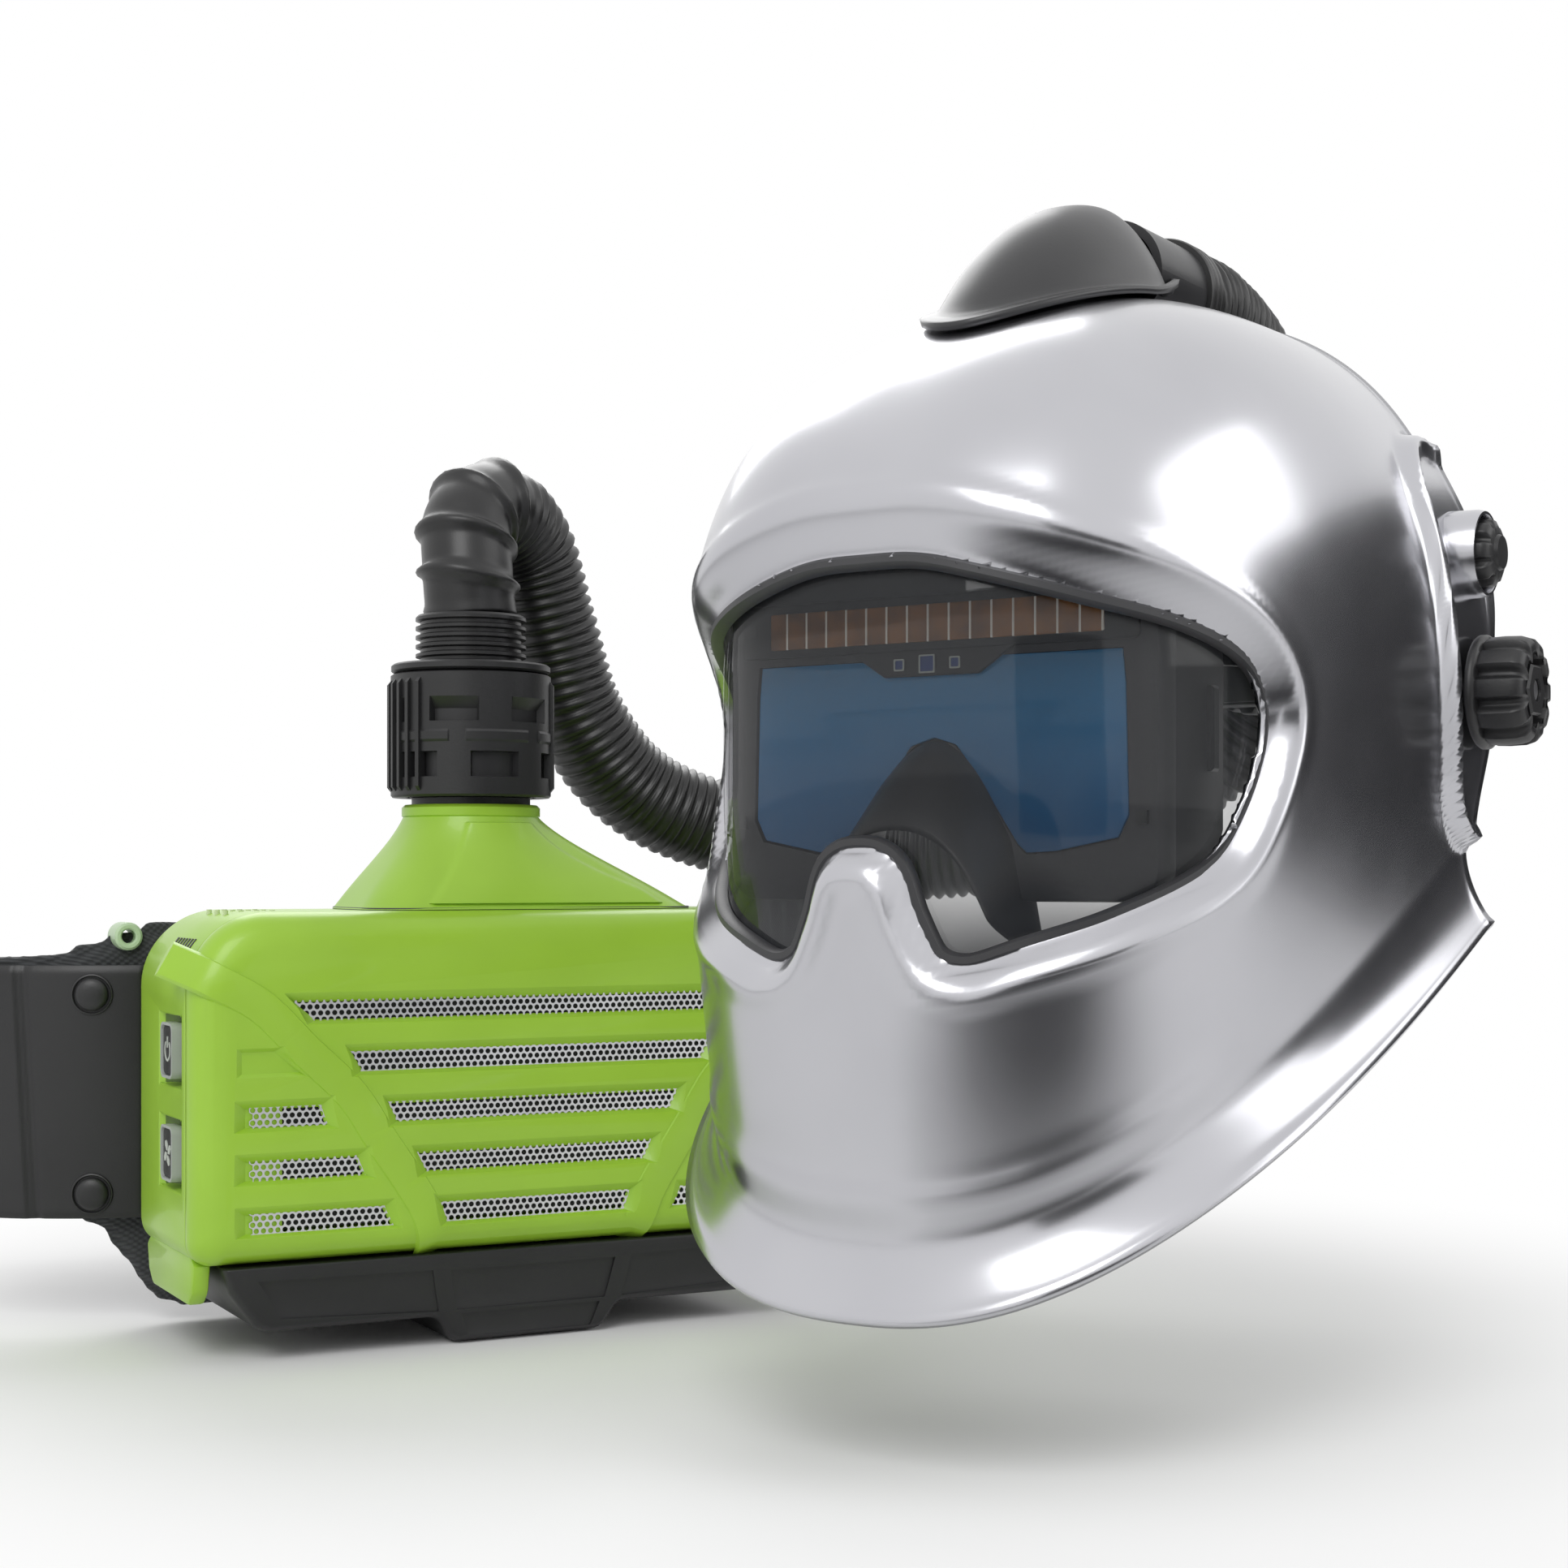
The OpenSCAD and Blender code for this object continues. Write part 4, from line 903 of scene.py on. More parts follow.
def honeycomb_group():
    """Geometry nodes: a sheet of round holes on a staggered grid."""
    tree = bpy.data.node_groups.new("round_hole_sheet", "GeometryNodeTree")
    face = tree.interface
    face.new_socket("Geometry", in_out="OUTPUT", socket_type="NodeSocketGeometry")
    for name, default in (("Width", 0.228), ("Height", 0.094), ("Pitch", 0.0028), ("Open share", 0.72)):
        face.new_socket(name, in_out="INPUT", socket_type="NodeSocketFloat").default_value = default
    face.new_socket("Finish", in_out="INPUT", socket_type="NodeSocketMaterial")

    holes = Tree(tree)
    node = holes.node
    width, height, pitch, share, finish = (
        Value(holes, socket) for socket in tree.nodes.new("NodeGroupInput").outputs[:5])
    row = pitch * (math.sqrt(3) / 2)
    across, rows = (width / pitch).whole(), (height / row).whole()
    grid = node("GeometryNodeMeshGrid", values={
        "Size X": (across - 1.0) * pitch, "Size Y": (rows - 1.0) * row,
        "Vertices X": across, "Vertices Y": rows})
    odd = (node("GeometryNodeInputIndex") % rows % 2.0 + 0.5).whole()
    shift = node("ShaderNodeCombineXYZ", values={0: odd * 0.5 * pitch})
    moved = node("GeometryNodeSetPosition", values={"Geometry": grid, "Offset": shift})
    cell = node("GeometryNodeCurvePrimitiveCircle", values={
        "Resolution": 6, "Radius": pitch * (1 / math.sqrt(3))})
    turned = node("GeometryNodeTransform", values={"Geometry": cell, "Rotation": (0.0, 0.0, math.pi / 6)})
    hole = node("GeometryNodeCurvePrimitiveCircle", values={
        "Resolution": 12, "Radius": pitch * share * 0.5})
    join = tree.nodes.new("GeometryNodeJoinGeometry")
    for outline in (turned, hole):
        holes.feed(join.inputs[0], outline)
    fill = node("GeometryNodeFillCurve", values={0: Value(holes, join.outputs[0])})
    spread = node("GeometryNodeInstanceOnPoints", values={"Points": moved, "Instance": fill})
    real = node("GeometryNodeRealizeInstances", values={0: spread})
    paint = node("GeometryNodeSetMaterial", values={"Geometry": real, "Material": finish})
    holes.feed(tree.nodes.new("NodeGroupOutput").inputs[0], paint)
    return tree


def grown(name, tree, slot, body, place, replaces=(), **values):
    """Runs a geometry node tree on an empty mesh and keeps the result as a plain mesh."""
    obj = placed(name, bpy.data.meshes.new(name))
    sockets = {item.name: item.identifier for item in tree.interface.items_tree
               if item.in_out == "INPUT"}
    added = obj.modifiers.new("Grown", "NODES")
    added.node_group = tree
    added[sockets["Finish"]] = FINISHES[slot]
    for key, value in values.items():
        added[sockets[key.replace("_", " ")]] = value
    bake(obj)
    obj.data.transform(place)
    return finished(obj, slot, body, smooth=False, replaces=replaces)


class RESPIRATOR_OT_spark_screen(bpy.types.Operator):
    """Builds the perforated steel screen behind the slots"""

    bl_idname = "respirator.spark_screen"
    bl_label = "Spark screen"

    def execute(self, context):
        low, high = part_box("spark_screen")
        middle = (low + high) / 2
        place = Matrix.Translation((middle.x, low.y + 0.0002, middle.z)) @ Matrix.Rotation(
            math.pi / 2, 4, "X")
        grown("screen_sheet", honeycomb_group(), "screen_steel", "cover", place,
              replaces=("spark_screen",), Width=high.x - low.x, Height=high.z - low.z,
              Pitch=0.0027, Open_share=0.74)
        return {"FINISHED"}


def channel_floor(share):
    """Where the key channel's round floor lies, share running from -1 to 1 across it."""
    return KEY_Y + share * CHANNEL_HALF_W, CHANNEL_DEPTH * (1 - share * share) ** 0.6


class RESPIRATOR_OT_rear_housing(bpy.types.Operator):
    """Builds the rear casing with its key channel"""

    bl_idname = "respirator.rear_housing"
    bl_label = "Rear casing"

    def execute(self, context):
        back = BACK_Y - 0.0002
        profile = [(0.0, SEAM_Y + 0.0006), (0.0, back - 0.016), (0.0012, back - 0.0095),
                   (0.0045, back - 0.0036), (0.0095, back - 0.0008), (0.014, back)]
        rings = [case_ring(inset, y) for inset, y in profile]
        body = stacked("case_shell", rings, "lime_plastic", replaces=("rear_housing",))
        combined(body, "key_channel", [self.channel(*ends) for ends in KEY_CHANNELS])
        bevelled(body, 0.0009, 3, 0.6)
        smooth_by_angle(finished_again(body, "lime_plastic"), 35)
        return {"FINISHED"}

    def channel(self, z0, z1):
        """A hollow with a round floor for one key."""
        loops = []
        for k in range(13):
            y, deep = channel_floor(-1 + 2 * k / 12)
            loops.append([(-SIDE_X - 0.003, y, z0), (-SIDE_X - 0.003, y, z1),
                          (-SIDE_X + deep, y, z1 - deep * 0.25), (-SIDE_X + deep, y, z0 + deep * 0.25)])
        return wedge_solid(loops)


class RESPIRATOR_OT_neck(bpy.types.Operator):
    """Builds the tapered neck that carries the hose outlet"""

    bl_idname = "respirator.neck"
    bl_label = "Outlet neck"

    def execute(self, context):
        base = even_ring(rounded_plate(0.07, -0.034, 0.038, 0.02, 24), 240)
        base = [(x + NECK_OFF, y) for x, y in base]
        rings = []
        z0 = CASE_Z1 + 0.0003
        top = NECK_TOP
        shares = sorted([k / 28 for k in range(29)] + [0.058, 0.066, 0.93, 0.938])
        for share in shares:
            z = z0 + (top - 0.005 - z0) * share
            blend = smoothstep(share) * 0.3 + share ** 0.85 * 0.7
            ring = []
            for x, y in base:
                angle = math.atan2(y - OUTLET.y * 0.2, x - OUTLET.x * (1 - 0.4 * share))
                rx = OUTLET.x + NECK_R * math.cos(angle)
                ry = OUTLET.y + NECK_R * math.sin(angle)
                left = -0.0415 + 0.022 * share
                right = 0.076 - 0.056 * share
                proud = 0.0
                if y < -0.0335 and 0.062 < share < 0.934:
                    proud = float(smooth_window(x, left, right, 0.0022)) * 0.0013
                ring.append((x + (rx - x) * blend, y + (ry - y) * blend - proud, z))
            rings.append(ring)
        for r, z in ((0.028, top - 0.0045), (0.028, top - 0.0012), (0.0268, top), (0.0245, top)):
            rings.append([(OUTLET.x + r * math.cos(a), OUTLET.y + r * math.sin(a), z)
                          for a in (math.atan2(y - OUTLET.y * 0.2, x - OUTLET.x * 0.6) for x, y in base)])
        neck = stacked("neck_shell", rings, "lime_plastic", replaces=("outlet_neck",))
        smooth_by_angle(neck, 28)
        rings = []
        for grow, z in ((0.0004, CASE_Z1 - 0.0008), (0.0004, CASE_Z1 + 0.001)):
            rings.append([(x + NECK_OFF, y, z) for x, y in rounded_outline(
                0.0692 + grow, -0.0332 - grow, 0.0372 + grow, 0.0192, 0.0192)])
        stacked("neck_joint", rings, "dark_plastic")
        return {"FINISHED"}


class RESPIRATOR_OT_coupling(bpy.types.Operator):
    """Builds the bayonet sleeve with its windows, the socket inside it and the ridged cuff"""

    bl_idname = "respirator.coupling"
    bl_label = "Hose coupling"

    def execute(self, context):
        place = upright(OUTLET.x, OUTLET.y)
        z = SLEEVE_Z
        rows = [(0.008, 0.0175), (0.03, 0.0395)]
        marks = {0.0, 0.0008, 0.0025, 0.0492, 0.0497}
        for low, high in rows:
            marks |= {low - 0.0003, low, (low + high) / 2, high, high + 0.0003}
        marks |= {0.0215, 0.0225, 0.0255, 0.0265}
        marks = sorted(marks)

        def windowed(a, r, h):
            h = h - z
            turn = (a / (math.pi / 3)) % 1.0
            depth = 0.0
            for k, (low, high) in enumerate(rows):
                at = (turn + 0.12 + 0.5 * k) % 1.0
                open_here = 0.28 < at < 0.86 and low <= h <= high
                depth = max(depth, 0.0034 if open_here else 0.0)
            ridge = 0.0006 if 0.0215 < h < 0.0262 and 0.1 < turn < 0.9 else 0.0
            edge = 0.0007 if h < 0.0004 or h > 0.0496 else 0.0
            return r - depth + ridge - edge

        outer = [(0.0324, z + h) for h in marks]
        profile = outer + [(0.0262, z + 0.0497), (0.0262, z)]
        lathe("sleeve_shell", profile, place, "black_plastic", "sleeve", 360,
              lambda a, r, h: windowed(a, r, h) if r > 0.03 else r, replaces=("coupling_sleeve",), sharp=28)
        top = z + 0.054
        inner = [(0.018, z), (0.0249, z), (0.0249, z + 0.0503), (0.031, z + 0.0503), (0.0322, z + 0.0512),
                 (0.0322, top - 0.0008), (0.0312, top), (0.018, top)]
        lathe("socket_shell", inner, place, "black_plastic", replaces=("coupling_body",))
        self.ears(place, z)
        cuff = [(0.018, CUFF_Z), (0.0224, CUFF_Z)]
        for k in range(5):
            low = CUFF_Z + 0.0012 + k * 0.0037
            cuff += [(0.0205, low), (0.0205, low + 0.0012), (0.0224, low + 0.0018),
                     (0.0224, low + 0.003)]
        cuff += [(0.0215, CUFF_Z + 0.02), (0.018, CUFF_Z + 0.02)]
        lathe("cuff_shell", cuff, place, "hose_rubber", replaces=("lower_cuff",))
        return {"FINISHED"}

    def ears(self, place, z):
        """Grip ribs on two opposite sides of the sleeve."""
        parts = []
        for side in (0, math.pi):
            for k in range(7):
                at = side + math.radians(-30 + k * 10)
                c, s = math.cos(at), math.sin(at)
                parts.append(wedge_solid([
                    [place((r * c - along * s, r * s + along * c, z + h)) for along, r in (
                        (-0.0011, 0.03), (0.0011, 0.03), (0.0009, out), (-0.0009, out))]
                    for h, out in ((0.002, 0.0322), (0.004, 0.0338), (0.0455, 0.0338), (0.0475, 0.0322))]))
        solids_piece("sleeve_ribs", parts, "black_plastic", "sleeve")


class RESPIRATOR_OT_battery(bpy.types.Operator):
    """Builds the battery pack with its panelled front and lowered middle"""

    bl_idname = "respirator.battery"
    bl_label = "Battery"

    def execute(self, context):
        half = [(-0.1225, PACK_TOP), (-0.119, 0.0262), (-0.1085, 0.0125), (-0.104, 0.0108), (-0.04, 0.0108),
                (-0.0372, 0.0096), (-0.0315, 0.0012), (-0.029, 0.0003)]
        outline = half + [(-x, z) for x, z in half[::-1]]
        rings = []
        for y, draw in ((PACK_FRONT, 0.0026), (-0.041, 0.0), (0.042, 0.0), (-PACK_FRONT, 0.0028)):
            rings.append([(x * (1 - draw * 4), y + (PACK_TOP - z) * (PACK_SLOPE if y < 0 else 0.0),
                           z + (draw if z < 0.03 else 0.0)) for x, z in outline])
        pack = stacked("pack_shell", rings, "black_plastic", "battery", replaces=("battery_case",))
        bevelled(pack, 0.0012, 3, 0.4)
        combined(pack, "panels", self.panels())
        combined(pack, "socket_bore", [round_bar((SOCKET_X, 0.0, 0.0), (SOCKET_X, 0.0, 0.02), SOCKET_R)])
        bevelled(pack, 0.0004)
        smooth_by_angle(finished_again(pack, "black_plastic"), 34)
        return {"FINISHED"}

    def panels(self):
        """Sunk trapezoids on the front: one on each wing and two in the middle."""
        shapes = []
        for side in (1, -1):
            shapes.append([(side * x, z) for x, z in (
                (-0.1085, 0.03), (-0.0425, 0.029), (-0.0392, 0.0145), (-0.099, 0.017))])
        shapes.append([(-0.0335, 0.0285), (0.0335, 0.0285), (0.03, 0.0145), (-0.03, 0.0145)])
        shapes.append([(-0.028, 0.011), (0.028, 0.011), (0.0245, 0.0036), (-0.0245, 0.0036)])
        parts = []
        for shape in shapes:
            middle = np.mean(shape, axis=0)
            loops = []
            for depth, grow in ((-0.004, 0.0), (0.0016, -0.0012)):
                spots = [[v + math.copysign(grow, v - m) for v, m in zip(spot, middle)] for spot in shape]
                loops.append([(x, PACK_FRONT + (PACK_TOP - z) * PACK_SLOPE + depth, z) for x, z in spots])
            parts.append(wedge_solid(loops))
        return parts


# Knobs


def fluted(count, depth, share=0.5):
    """A radius rule: rounded flutes cut into a grip."""
    def rule(angle, radius, height):
        wave = 0.5 + 0.5 * math.cos(angle * count)
        return radius - depth * float(smoothstep((share - wave) / share))
    return rule


class RESPIRATOR_OT_knobs(bpy.types.Operator):
    """Builds the two tilt knobs, the shade knob and the ratchet knob"""

    bl_idname = "respirator.knobs"
    bl_label = "Knobs"

    def execute(self, context):
        for side, name in ((1, "left"), (-1, "right")):
            place = sideways(side, 0.0, 0.0, SHELL_HALF_W + 0.0049)
            grip = fluted(10, 0.003)
            profile = [(0.0, 0.0), (0.019, 0.0), (0.0195, 0.0006), (0.0195, 0.0022), (0.0186, 0.003),
                       (0.018, 0.0034), (0.0185, 0.0048), (0.0187, 0.009), (0.0185, 0.0145), (0.0176, 0.0173),
                       (0.016, 0.0187), (0.0138, 0.0192), (0.0126, 0.0183), (0.012, 0.0142), (0.0, 0.0142)]
            lathe(name + "_grip", profile, place, "black_plastic", "knob_" + name, 200,
                  lambda a, r, h, grip=grip: grip(a, r, h) if 0.0032 < h and r > 0.0135 else r,
                  replaces=("pivot_knob_" + name,), sharp=50)
            nut = [(0.0, 0.0138), (0.0098, 0.0138), (0.0098, 0.0181), (0.0088, 0.0189), (0.004, 0.0189),
                   (0.004, 0.016), (0.0, 0.016)]

            def hexagon(a, r, h):
                if r < 0.006:
                    return r
                k = (a % (math.pi / 3)) - math.pi / 6
                return r * math.cos(math.pi / 6) / math.cos(k)
            lathe(name + "_nut", nut, place, "black_plastic", "knob_" + name, 96, hexagon, sharp=25)
        self.shade()
        self.ratchet()
        return {"FINISHED"}

    def shade(self):
        """The shade knob and the cup it sits in."""
        place = sideways(1, 0.002, SHADE_UP, SHELL_HALF_W + 0.0012)
        grip = fluted(8, 0.0022)
        profile = [(0.0, 0.0), (0.0112, 0.0), (0.0115, 0.001), (0.0115, 0.007), (0.011, 0.0088),
                   (0.0085, 0.01), (0.0062, 0.0104), (0.0056, 0.0116), (0.0, 0.0118)]
        lathe("shade_grip", profile, place, "black_plastic", "shade", 144,
              lambda a, r, h: grip(a, r, h) if r > 0.01 and h > 0.0005 else r,
              replaces=("shade_knob",), sharp=50)
        ring = [(0.0126, -0.006), (0.0152, -0.006), (0.015, 0.004), (0.0143, 0.0062), (0.0134, 0.0062),
                (0.0126, 0.0045)]

        lathe("shade_cup_ring", ring, place, "mirror_shell", "casing", 120, replaces=("shade_cup",))

    def ratchet(self):
        """The knob that tightens the headband."""
        def place(p):
            return on_helmet((p[0], RATCHET_BACK + p[2], BAND_Z + p[1]))
        profile = [(0.0, 0.0), (0.0165, 0.0), (0.017, 0.0008), (0.017, 0.0088), (0.016, 0.0104),
                   (0.012, 0.011), (0.0104, 0.0102), (0.0, 0.0098)]
        grip = fluted(12, 0.0016)
        lathe("ratchet_grip", profile, place, "black_plastic", "ratchet", 192,
              lambda a, r, h: grip(a, r, h) if r > 0.0155 else r, replaces=("ratchet_knob",), sharp=50)


# Helmet


def level(z, off=0.0):
    """Half width of the helmet's level at a height, and how far ahead it reaches."""
    high = CROWN_H - off
    fade = np.where(z > 0, np.clip(1 - np.clip(z / high, 0, 1) ** CROWN_N, 0, 1) ** (1 / CROWN_N), 1.0)
    chin = np.where(z < 0, np.clip(-z / CHIN_H, 0, 2) ** 1.6, 0.0)
    ahead = REAR_TOP + (FACE_V - REAR_TOP - off) * fade * (1 - 0.07 * chin)
    return (SHELL_HALF_W - off) * fade * (1 - 0.16 * chin), ahead


def signed_power(a, p):
    """A power that keeps the sign."""
    return np.sign(a) * np.abs(a) ** p


def soft_square(count, power):
    """How far across and up the points round a rounded square lie, from -1 to 1."""
    return [[float(signed_power(wave(a), power)) for wave in (math.cos, math.sin)] for a in turns(count)]


def rim_height(t):
    """The helmet's lower rim for a plan angle."""
    ahead = np.clip(np.cos(t), 0, 1) ** (2 / PLAN_N)
    return -CHIN_H + RIM_RISE * (1 - ahead) ** RIM_N


def helmet_surface(t, z, off=0.0):
    """Points of the helmet's surface for plan angles and heights."""
    ahead = np.clip(np.cos(t), 0, 1) ** (2 / PLAN_N)
    flare = RIM_FLARE * np.clip(1 - (z - rim_height(t)) / FLARE_H, 0, 1.2) ** 2
    zs = np.where(z > 0, z * (CROWN_H - off) / CROWN_H, z)
    half_w, reach = level(zs, off)
    rear = REAR_TOP - LOBE_REACH * np.exp(-(((zs - LOBE_Z) / LOBE_SPAN) ** 4))
    x = (half_w + flare) * signed_power(np.sin(t), 2 / PLAN_N)
    y = -rear - (reach + flare - rear) * ahead
    return np.stack([x, y, zs], axis=-1)


def arc_table():
    """Plan angle against length round the widest level."""
    t = np.linspace(-math.pi / 2, math.pi / 2, 4001)
    run = lengths(helmet_surface(t, np.zeros_like(t))[:, :2])
    return t, run - run[-1] / 2


ARC_T, ARC_S = arc_table()


def closed_curve(points, steps):
    """A smooth closed curve through the given points."""
    n = len(points)
    pts = [np.array(p, float) for p in points]
    return np.array([between(pts[i - 1], pts[i], pts[(i + 1) % n], pts[(i + 2) % n], j / steps)
                     for i in range(n) for j in range(steps)])


def visor_curve():
    """The visor's outline, as length round the shell and height."""
    right = [(u / 1000, z / 1000) for u, z in VISOR_HALF]
    left = [(-u, z) for u, z in right[-2:0:-1]]
    ring = closed_curve(right + left, 10)
    sine = np.sign(ring[:, 0]) * (np.abs(ring[:, 0]) / SHELL_HALF_W) ** (PLAN_N / 2)
    t = np.arcsin(np.clip(sine, -1, 1))
    return np.stack([np.interp(t, ARC_T, ARC_S), ring[:, 1]], axis=1)


def outline_field(points, ring):
    """How deep each point lies inside a closed outline, and its nearest outline point."""
    a = ring
    b = np.roll(ring, -1, axis=0)
    ab = b - a
    flat = points.reshape(-1, 2)
    depth = np.empty(len(flat))
    near = np.empty((len(flat), 2))
    for start in range(0, len(flat), 4000):
        p = flat[start:start + 4000]
        k = np.clip(np.einsum("pkc,kc->pk", p[:, None] - a[None], ab) / (ab ** 2).sum(1), 0, 1)
        q = a[None] + k[..., None] * ab[None]
        dist = np.linalg.norm(p[:, None] - q, axis=2)
        best = dist.argmin(1)
        rows = np.arange(len(p))
        crosses = ((a[None, :, 1] > p[:, None, 1]) != (b[None, :, 1] > p[:, None, 1])) & (
            p[:, None, 0] < ab[None, :, 0] * (p[:, None, 1] - a[None, :, 1])
            / np.where(ab[None, :, 1] == 0, 1e-12, ab[None, :, 1]) + a[None, :, 0])
        inside = crosses.sum(1) % 2 == 1
        depth[start:start + 4000] = np.where(inside, 1, -1) * dist[rows, best]
        near[start:start + 4000] = q[rows, best]
    return depth.reshape(points.shape[:-1]), near.reshape(points.shape)


def surface_normals(at):
    """Outward normals of a grid of points."""
    du = np.gradient(at, axis=0)
    dv = np.gradient(at, axis=1)
    n = np.cross(du, dv)
    n /= np.maximum(np.linalg.norm(n, axis=-1, keepdims=True), 1e-12)
    outward = at - np.array([0.0, -0.05, -0.02])
    flip = np.sign((n * outward).sum(-1, keepdims=True))
    return n * np.where(flip == 0, 1, flip)


def bezel_width(z):
    """The sloping band round the lens is widest along the brow."""
    return 0.0085 + 0.0085 * smoothstep((z - 0.005) / 0.045)


def pod_rise(at):
    """The raised pad round the knobs on each side: a floor with a proud lip."""
    v = -at[..., 1]
    z = at[..., 2]
    k = np.clip((z + 0.026) / 0.088, 0, 1)
    away = np.hypot(v - (-0.004 + 0.01 * k), z - (-0.026 + 0.088 * k)) - 0.0205
    sideways = smoothstep((np.abs(at[..., 0]) - 0.08) / 0.02)
    lip = 0.003 * np.exp(-(((away - 0.0028) / 0.0026) ** 2))
    floor = 0.0036 * smoothstep((0.0085 - away) / 0.009) - 0.0006 * smoothstep((0.0 - away) / 0.002)
    return (lip + floor) * sideways


class RESPIRATOR_OT_helmet_shell(bpy.types.Operator):
    """Builds the mirror-silver shell with its bezel, flared rim and side pods, and its dark liner"""

    bl_idname = "respirator.helmet_shell"
    bl_label = "Helmet shell"

    def execute(self, context):
        rows, cols = 240, 170
        arc = np.linspace(ARC_S[0], ARC_S[-1], rows)[:, None] * np.ones((1, cols))
        up = np.sin(np.linspace(0, 1, cols) * math.pi / 2)[None, :]
        t = np.interp(arc, ARC_S, ARC_T)
        low = rim_height(t)
        z = low + (CROWN_H * 0.9985 - low) * up
        even = helmet_surface(t, z)
        ring = visor_curve()
        depth, near = outline_field(np.stack([arc, z], axis=-1), ring)
        width = bezel_width(near[..., 1])
        over = depth > width
        arc, z, kept = drawn_in(arc, z, depth, near, width, over, over)
        depth = np.minimum(depth, width)
        t = np.interp(arc, ARC_S, ARC_T)
        at = helmet_surface(t, z)
        out = surface_normals(even)
        sink = BEZEL_DROP * smoothstep(depth / width) * (depth > 0)
        lip = 0.001 * np.exp(-(((depth + 0.0025) / 0.0035) ** 2))
        rim = z - rim_height(t)
        bead = 0.0009 * np.exp(-((rim / 0.0016) ** 2))
        rear = (ARC_S[-1] - np.abs(arc))
        edge = 0.0009 * np.exp(-((rear / 0.0018) ** 2))
        crease = 0.0012 * np.exp(-(((rim - 0.034) / 0.006) ** 2)) * smoothstep((0.15 - np.abs(arc)) / 0.05)
        shift = lip - sink + bead + edge + crease + pod_rise(at)
        at = at + out * shift[..., None]
        shell = helmet_sheet("helmet_skin", at, "mirror_shell", kept, ("helmet_shell", "side_pods"))
        sheet_wall(shell, "mirror_shell", SHELL_WALL)
        inner = at - out * (SHELL_WALL + 0.0002)
        inside = kept & (depth[:-1, :-1] <= 0) & (rim[:-1, :-1] > 0.001)
        sheet_wall(helmet_sheet("shell_liner", inner, "liner_black", inside), "liner_black", 0.0005)
        return {"FINISHED"}


def helmet_sheet(name, at, slot, keep=None, replaces=()):
    """A tidied sheet over a grid of places given from the pivots."""
    sheet = piece(name, [on_helmet(p) for p in at.reshape(-1, 3)], grid_faces(*at.shape[:2], keep),
                  slot, replaces=replaces)
    tidy_sheet(sheet)
    return sheet


def drawn_in(arc, z, depth, near, limit, over, moved):
    """Moves grid points to a line inside the outline, and keeps the faces that aren't past it."""
    spots = np.stack([arc, z], axis=-1)
    step = near + (spots - near) * (limit / np.where(np.abs(depth) < 1e-9, 1e-9, depth))[..., None]
    kept = ~(over[:-1, :-1] & over[1:, :-1] & over[:-1, 1:] & over[1:, 1:])
    return np.where(moved, step[..., 0], arc), np.where(moved, step[..., 1], z), kept


def tidy_sheet(obj, centre=None):
    """Removes loose points and slivers, and turns a sheet's faces outwards."""
    middle = centre or on_helmet((0, -0.05, -0.02))
    with edited(obj) as form:
        rim = [v for v in form.verts if v.is_boundary]
        bmesh.ops.remove_doubles(form, verts=rim, dist=0.0004)
        bmesh.ops.dissolve_degenerate(form, edges=form.edges, dist=1e-6)
        loose = [v for v in form.verts if not v.link_faces]
        bmesh.ops.delete(form, geom=loose, context="VERTS")
        bmesh.ops.recalc_face_normals(form, faces=form.faces)
        facing = sum((f.calc_center_median() - middle).dot(f.normal) * f.calc_area() for f in form.faces)
        if facing < 0:
            bmesh.ops.reverse_faces(form, faces=form.faces)


class RESPIRATOR_OT_lens(bpy.types.Operator):
    """Builds the curved clear cover lens inside the bezel"""

    bl_idname = "respirator.lens"
    bl_label = "Cover lens"

    def execute(self, context):
        rows, cols = 150, 90
        reach = 0.185
        ring = visor_curve()
        arc = np.linspace(-reach, reach, rows)[:, None] * np.ones((1, cols))
        z = np.ones((rows, 1)) * np.linspace(-0.098, 0.056, cols)[None, :]
        depth, near = outline_field(np.stack([arc, z], axis=-1), ring)
        start = 0.004
        over = depth < start
        arc, z, keep = drawn_in(arc, z, depth, near, start, over, over & (np.abs(depth) < 0.02))
        t = np.interp(arc, ARC_S, ARC_T)
        at = helmet_surface(t, z, BEZEL_DROP + SHELL_WALL + 0.0004)
        lens = helmet_sheet("lens_sheet", at, "clear_lens", keep, ("cover_lens",))
        sheet_wall(lens, "clear_lens", 0.0016)
        return {"FINISHED"}


def crown_height(u, v):
    """How high the crown lies above the pivots."""
    reach = (np.abs(u) / SHELL_HALF_W) ** PLAN_N + (
        np.maximum(v - REAR_TOP, 0) / (FACE_V - REAR_TOP)) ** PLAN_N
    return CROWN_H * np.clip(1 - reach ** (CROWN_N / PLAN_N), 0, 1) ** (1 / CROWN_N)


